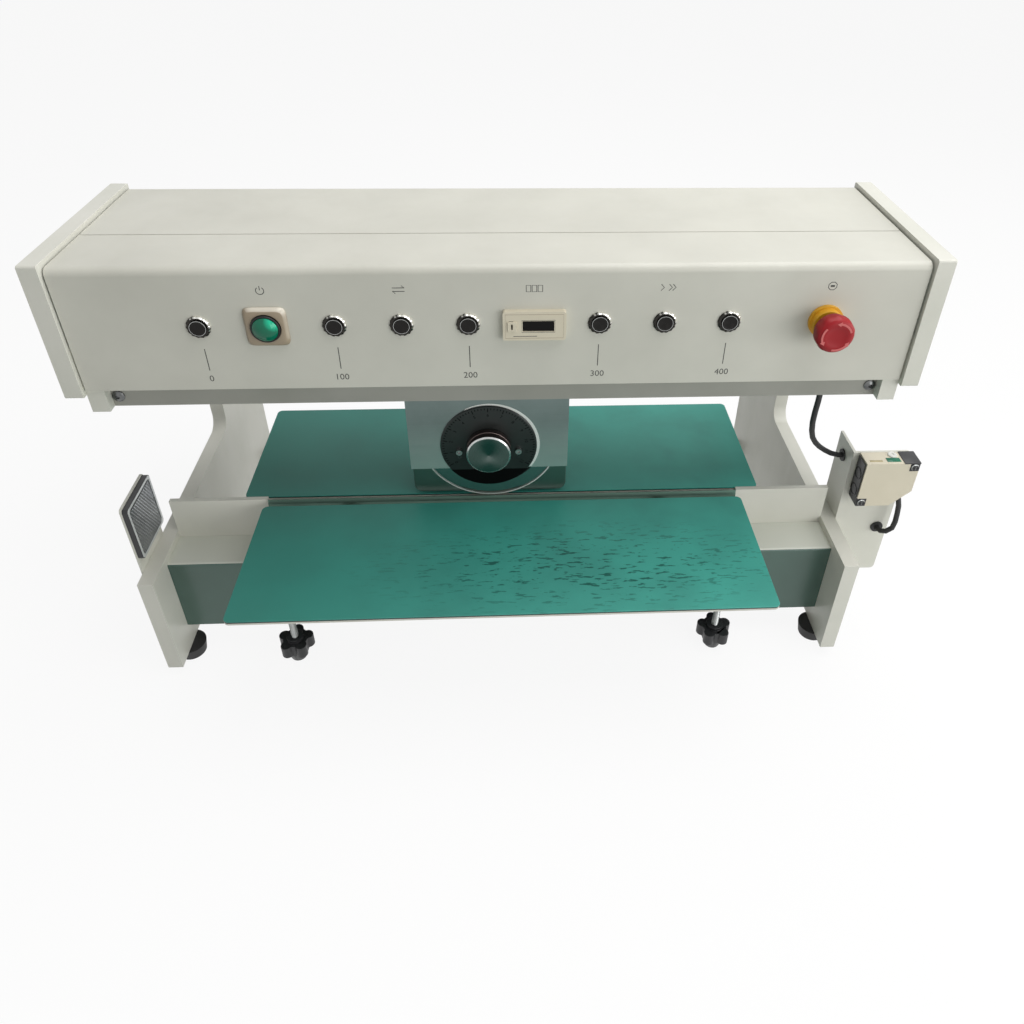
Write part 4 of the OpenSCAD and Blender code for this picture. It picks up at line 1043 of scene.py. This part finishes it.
# A taupe line round the counter's face is a painted shadow of its recess
recess_shadow_line = ribbon(
    metres([(-22, -10), (22, -10), (22, 10), (-22, 10)]), 0.4 * MM, ink_thick, closed=True
)
key_front = front_of("counter_key")
for name, mesh, material, node, slot, smooth, place in (
    ("counter_recess_painted_shadow", recess_shadow_line, taupe_abs, "counter_body", "beige_plastic", None,
     counter_front),
    ("counter_lever", block((-1.0, -0.9, -2.4), (0.9, 0.2, 2.6), 0.3), cream_abs, "counter_key",
     "beige_plastic", 30, key_front + Vector((0, 0.9 * MM, 0))),
    ("counter_key_slot", block((-2.6, -0.05, 2.7), (1.0, 0.1, 4.4), 0.02), ink, "counter_body",
     "black_plastic", None, Vector((key_front.x, counter_front.y, key_front.z))),
    ("counter_print", join_meshes("counter_lines", counter_meshes), ink, "counter_body",
     "black_plastic", None, counter_front),
):
    piece = add_piece(name, mesh, material, body_of(node), smooth_angle=smooth)
    piece.location = place

# Reflector: corner-cube prisms behind a clear rim --------------------------------------------


def cube_corners(width, height, radius, step):
    """A honeycomb of corner cubes in Y and Z: each cell is three rhombs round a deep middle."""
    shape = bmesh.new()
    pitch_y, pitch_z = radius * math.sqrt(3), radius * 1.5
    found = {}

    def vertex(y, z, depth):
        """One vertex for each place, shared by the cells that meet there."""
        key = (round(y / radius, 2), round(z / radius, 2))
        if key not in found:
            found[key] = shape.verts.new((depth, y, z))
        return found[key]

    rows, columns = int(height / pitch_z), int(width / pitch_y)
    for row in range(rows):
        for column in range(columns):
            y = (column + 0.5 * (row % 2) + 0.5) * pitch_y - width / 2
            z = (row + 0.7) * pitch_z - height / 2
            core = vertex(y, z, 0)
            rim = [
                vertex(
                    y + radius * math.cos(math.radians(60 * k + 30)),
                    z + radius * math.sin(math.radians(60 * k + 30)),
                    step * (1 + k % 2),
                )
                for k in range(6)
            ]
            for k in (0, 2, 4):
                shape.faces.new((core, rim[k], rim[k + 1], rim[(k + 2) % 6]))
    bmesh.ops.recalc_face_normals(shape, faces=shape.faces)
    bmesh.ops.solidify(shape, geom=shape.faces[:], thickness=0.15 * MM)
    return mesh_from(shape, "prisms")


mirror_low, mirror_high = low("reflector"), high("reflector")
mirror_mid = middle("reflector")
prisms = add_piece(
    "reflector_prisms", cube_corners(47 * MM, 51 * MM, 1.9 * MM, 0.3 * MM), prism_plastic,
    body_of("reflector"),
)
prisms.location = (mirror_high.x - 0.72 * MM, mirror_mid.y, mirror_mid.z)
half_y, half_z = [(mirror_high[axis] - mirror_low[axis]) / 2 / MM for axis in (1, 2)]
cut_corner = 2.2


def rim_ring(inset, depth):
    """A rectangular ring with cut corners, in Y and Z about the reflector's middle."""
    y, z = half_y - inset, half_z - inset
    inner_y, inner_z = y - cut_corner, z - cut_corner
    corners = [
        (y, inner_z), (inner_y, z), (-inner_y, z), (-y, inner_z),
        (-y, -inner_z), (-inner_y, -z), (inner_y, -z), (y, -inner_z),
    ]
    return metres([(depth, a, b) for a, b in corners])


rim = add_piece(
    "reflector_rim",
    loft([
        rim_ring(0.3, 0), rim_ring(0.5, 0.25), rim_ring(2.6, 0.25), rim_ring(3.0, -0.5),
        rim_ring(0.3, -0.5),
    ], closed=True),
    clear_rim, body_of("reflector"),
)
rim.location = (mirror_high.x, mirror_mid.y, mirror_mid.z)

# Sensor: screws, adjuster, indicator window and lenses ---------------------------------------

body_low, body_high = low("sensor_body"), high("sensor_body")
sensor_top = body_high.z
sensor_body = body_of("sensor_body")
for name, mesh, material, slot in (
    ("sensor_indicator_window", block((20, 3, -0.5), (33, 9, 0.35)), green_lens, "green_lens"),
    ("sensor_slot_label", block((4, 3.5, -0.5), (16, 6, 0.15), 0.1), foil, "beige_plastic"),
    ("sensor_strap", block((35, -0.4, -0.5), (50.3, 18.1, 0.7)), black_nylon, "black_plastic"),
):
    piece = add_piece(name, mesh, material, sensor_body, smooth_angle=30)
    piece.location = (body_low.x, body_low.y, sensor_top)
adjuster = turned(
    "sensor_adjuster",
    [(0, -0.8), (1.6, -0.8), (1.7, -1.4), (3.6, -1.5), (4.2, -1.1), (4.3, 0.3), (0, 0.3)],
    Vector((body_low.x + 28 * MM, body_low.y + 13 * MM, sensor_top)),
    white_nylon, sensor_body, "beige_plastic", steps=40,
)
adjuster.rotation_euler = (-math.pi / 2, 0, 0)


def cross_head(radius):
    """A pan head with a cross slot, in millimetres, its underside at Y zero."""
    head = turned_mesh([
        (0, -1.3), (radius * 0.62, -1.25), (radius * 0.9, -0.8), (radius, -0.2), (radius, 0),
        (0, 0),
    ], 32)
    bar = radius * 0.62
    slots = [
        block((-bar, -1.5, -0.4), (bar, -1.28, 0.4), 0.08),
        block((-0.4, -1.52, -bar), (0.4, -1.3, bar), 0.08),
    ]
    return head, slots


screw_inset = 4.5 * MM
for name, x, z in (
    ("sensor_screw_low", body_low.x + screw_inset, body_low.z + screw_inset),
    ("sensor_screw_high", body_high.x - screw_inset, body_high.z - screw_inset),
):
    head, slots = cross_head(3.6)
    place = Vector((x, body_low.y - 0.3 * MM, z))
    screw = add_piece(name, head, zinc, sensor_body, smooth_angle=30)
    screw.location = place
    recess = add_piece(
        name + "_slots", join_meshes("slots", slots), black_oxide, sensor_body
    )
    recess.location = place
lens_meshes = []
for z in (14, 33):
    eye_ring = turned_mesh([(5.2, 0.2), (5.2, -0.4), (6.0, -0.4), (6.2, 0.2)], 40, closed=True)
    eye_ring.transform(Matrix.Rotation(-math.pi / 2, 4, "Z"))
    lens_meshes.append(moved(eye_ring, (-1.5 * MM, 9 * MM, z * MM)))
lenses = add_piece(
    "sensor_lens_rings", join_meshes("lenses", lens_meshes), dark_glass, sensor_body,
    smooth_angle=30,
)
lenses.location = body_low

# Platform legs: rolled thread and a hexagon nut ---------------------------------------------

thread_pitch = 1.5
thread_radius = 3.45
thread_depth = 0.8
per_pitch, around = 4, 20
nut_height = 5
leg_low, leg_high = low("platform_legs"), high("platform_legs")
thread_length = (leg_high.z - leg_low.z) / MM - nut_height


def round_leg(centre, radius, angle, z):
    """A point round a leg's middle, radius in millimetres and z in metres."""
    r = radius * MM
    return (centre.x + r * math.cos(angle), centre.y + r * math.sin(angle), z)


leg_meshes = []
for foot in ("star_foot_left", "star_foot_right"):
    centre = Vector((middle(foot).x, middle("platform_legs").y, 0))
    rings = []
    for k in range(int(thread_length / thread_pitch * per_pitch) + 1):
        z = leg_low.z + k * thread_pitch / per_pitch * MM
        ring = []
        for i in range(around):
            phase = (k / per_pitch - i / around) % 1
            radius = thread_radius - thread_depth * abs(2 * phase - 1)
            ring.append(round_leg(centre, radius, 2 * math.pi * i / around, z))
        rings.append(ring)
    leg_meshes.append(loft(rings))
    leg_meshes.append(loft([
        [round_leg(centre, radius, math.radians(60 * i), leg_high.z + z * MM) for i in range(6)]
        for radius, z in ((5.9, -nut_height), (6.4, -4.6), (6.4, -0.4), (5.9, 0))
    ]))
legs = add_piece(
    "platform_legs_threaded", join_meshes("legs", leg_meshes), zinc,
    body_of("platform_legs"),
)
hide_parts("platform_legs")

# Lights, floor and world -------------------------------------------------------------------


def soft_light(name, power, size, place, target):
    """A rectangular studio light aimed at a point."""
    lamp = bpy.data.lights.new(name, "AREA")
    lamp.shape = "RECTANGLE"
    lamp.size, lamp.size_y = size
    lamp.energy = power
    holder = bpy.data.objects.new(name, lamp)
    holder.location = place
    aim = Vector(target) - Vector(place)
    holder.rotation_euler = aim.to_track_quat("-Z", "Y").to_euler()
    bpy.context.scene.collection.objects.link(holder)


soft_light("ceiling", 21, (1.8, 1.2), (0.5, 0.05, 1.65), (0, 0, 0.3))
soft_light("front_fill", 14, (1.5, 0.9), (1.3, -1.5, 0.65), (0, 0, 0.12))
soft_light("side_window", 5, (0.8, 0.8), (1.7, -0.35, 0.6), (-0.3, 0.05, 0.2))

floor_mesh = bpy.data.meshes.new("floor")
reach = 20
floor_mesh.from_pydata(
    [(-reach, -reach, 0), (reach, -reach, 0), (reach, reach, 0), (-reach, reach, 0)],
    [], [(0, 1, 2, 3)],
)
floor = bpy.data.objects.new("floor", floor_mesh)
bpy.context.scene.collection.objects.link(floor)
floor_material, floor_shader = new_material("pale_floor", Roughness=0.9)
seen = add_node(floor_material, "LightPath")
seen_or_mirrored = math_on(
    floor_material, "MAXIMUM", seen.outputs["Is Camera Ray"], seen.outputs["Is Glossy Ray"]
)
# A bench a little darker than it looks, so that less light comes back up under the housing
floor_colour = blend_colours(floor_material, seen_or_mirrored, "c4c8c5", "f8f8f7")
feed(floor_shader, {"Base Color": floor_colour})
glow = add_node(floor_material, "Emission", {"Color": (1, 1, 1, 1), "Strength": 1.0})
mixed = add_node(floor_material, "MixShader", {
    0: math_on(floor_material, "MULTIPLY", seen_or_mirrored, 0.9),
    1: floor_shader.outputs[0],
    2: glow.outputs[0],
})
feed(floor_material.node_tree.nodes["Material Output"], {"Surface": mixed.outputs[0]})
floor_mesh.materials.append(floor_material)

world = bpy.data.worlds.new("studio")
bpy.context.scene.world = world
world.use_nodes = True
rays = add_node(world, "LightPath")
bare = math_on(
    world, "MAXIMUM",
    math_on(world, "MAXIMUM", rays.outputs["Is Camera Ray"], rays.outputs["Is Glossy Ray"]),
    rays.outputs["Is Transmission Ray"],
)
feed(world.node_tree.nodes["Background"], {
    "Color": (1, 1, 1, 1),
    "Strength": spread(world, bare, (0, 1), (0.3, 1.0)),
})
bpy.context.scene.view_settings.view_transform = "Standard"
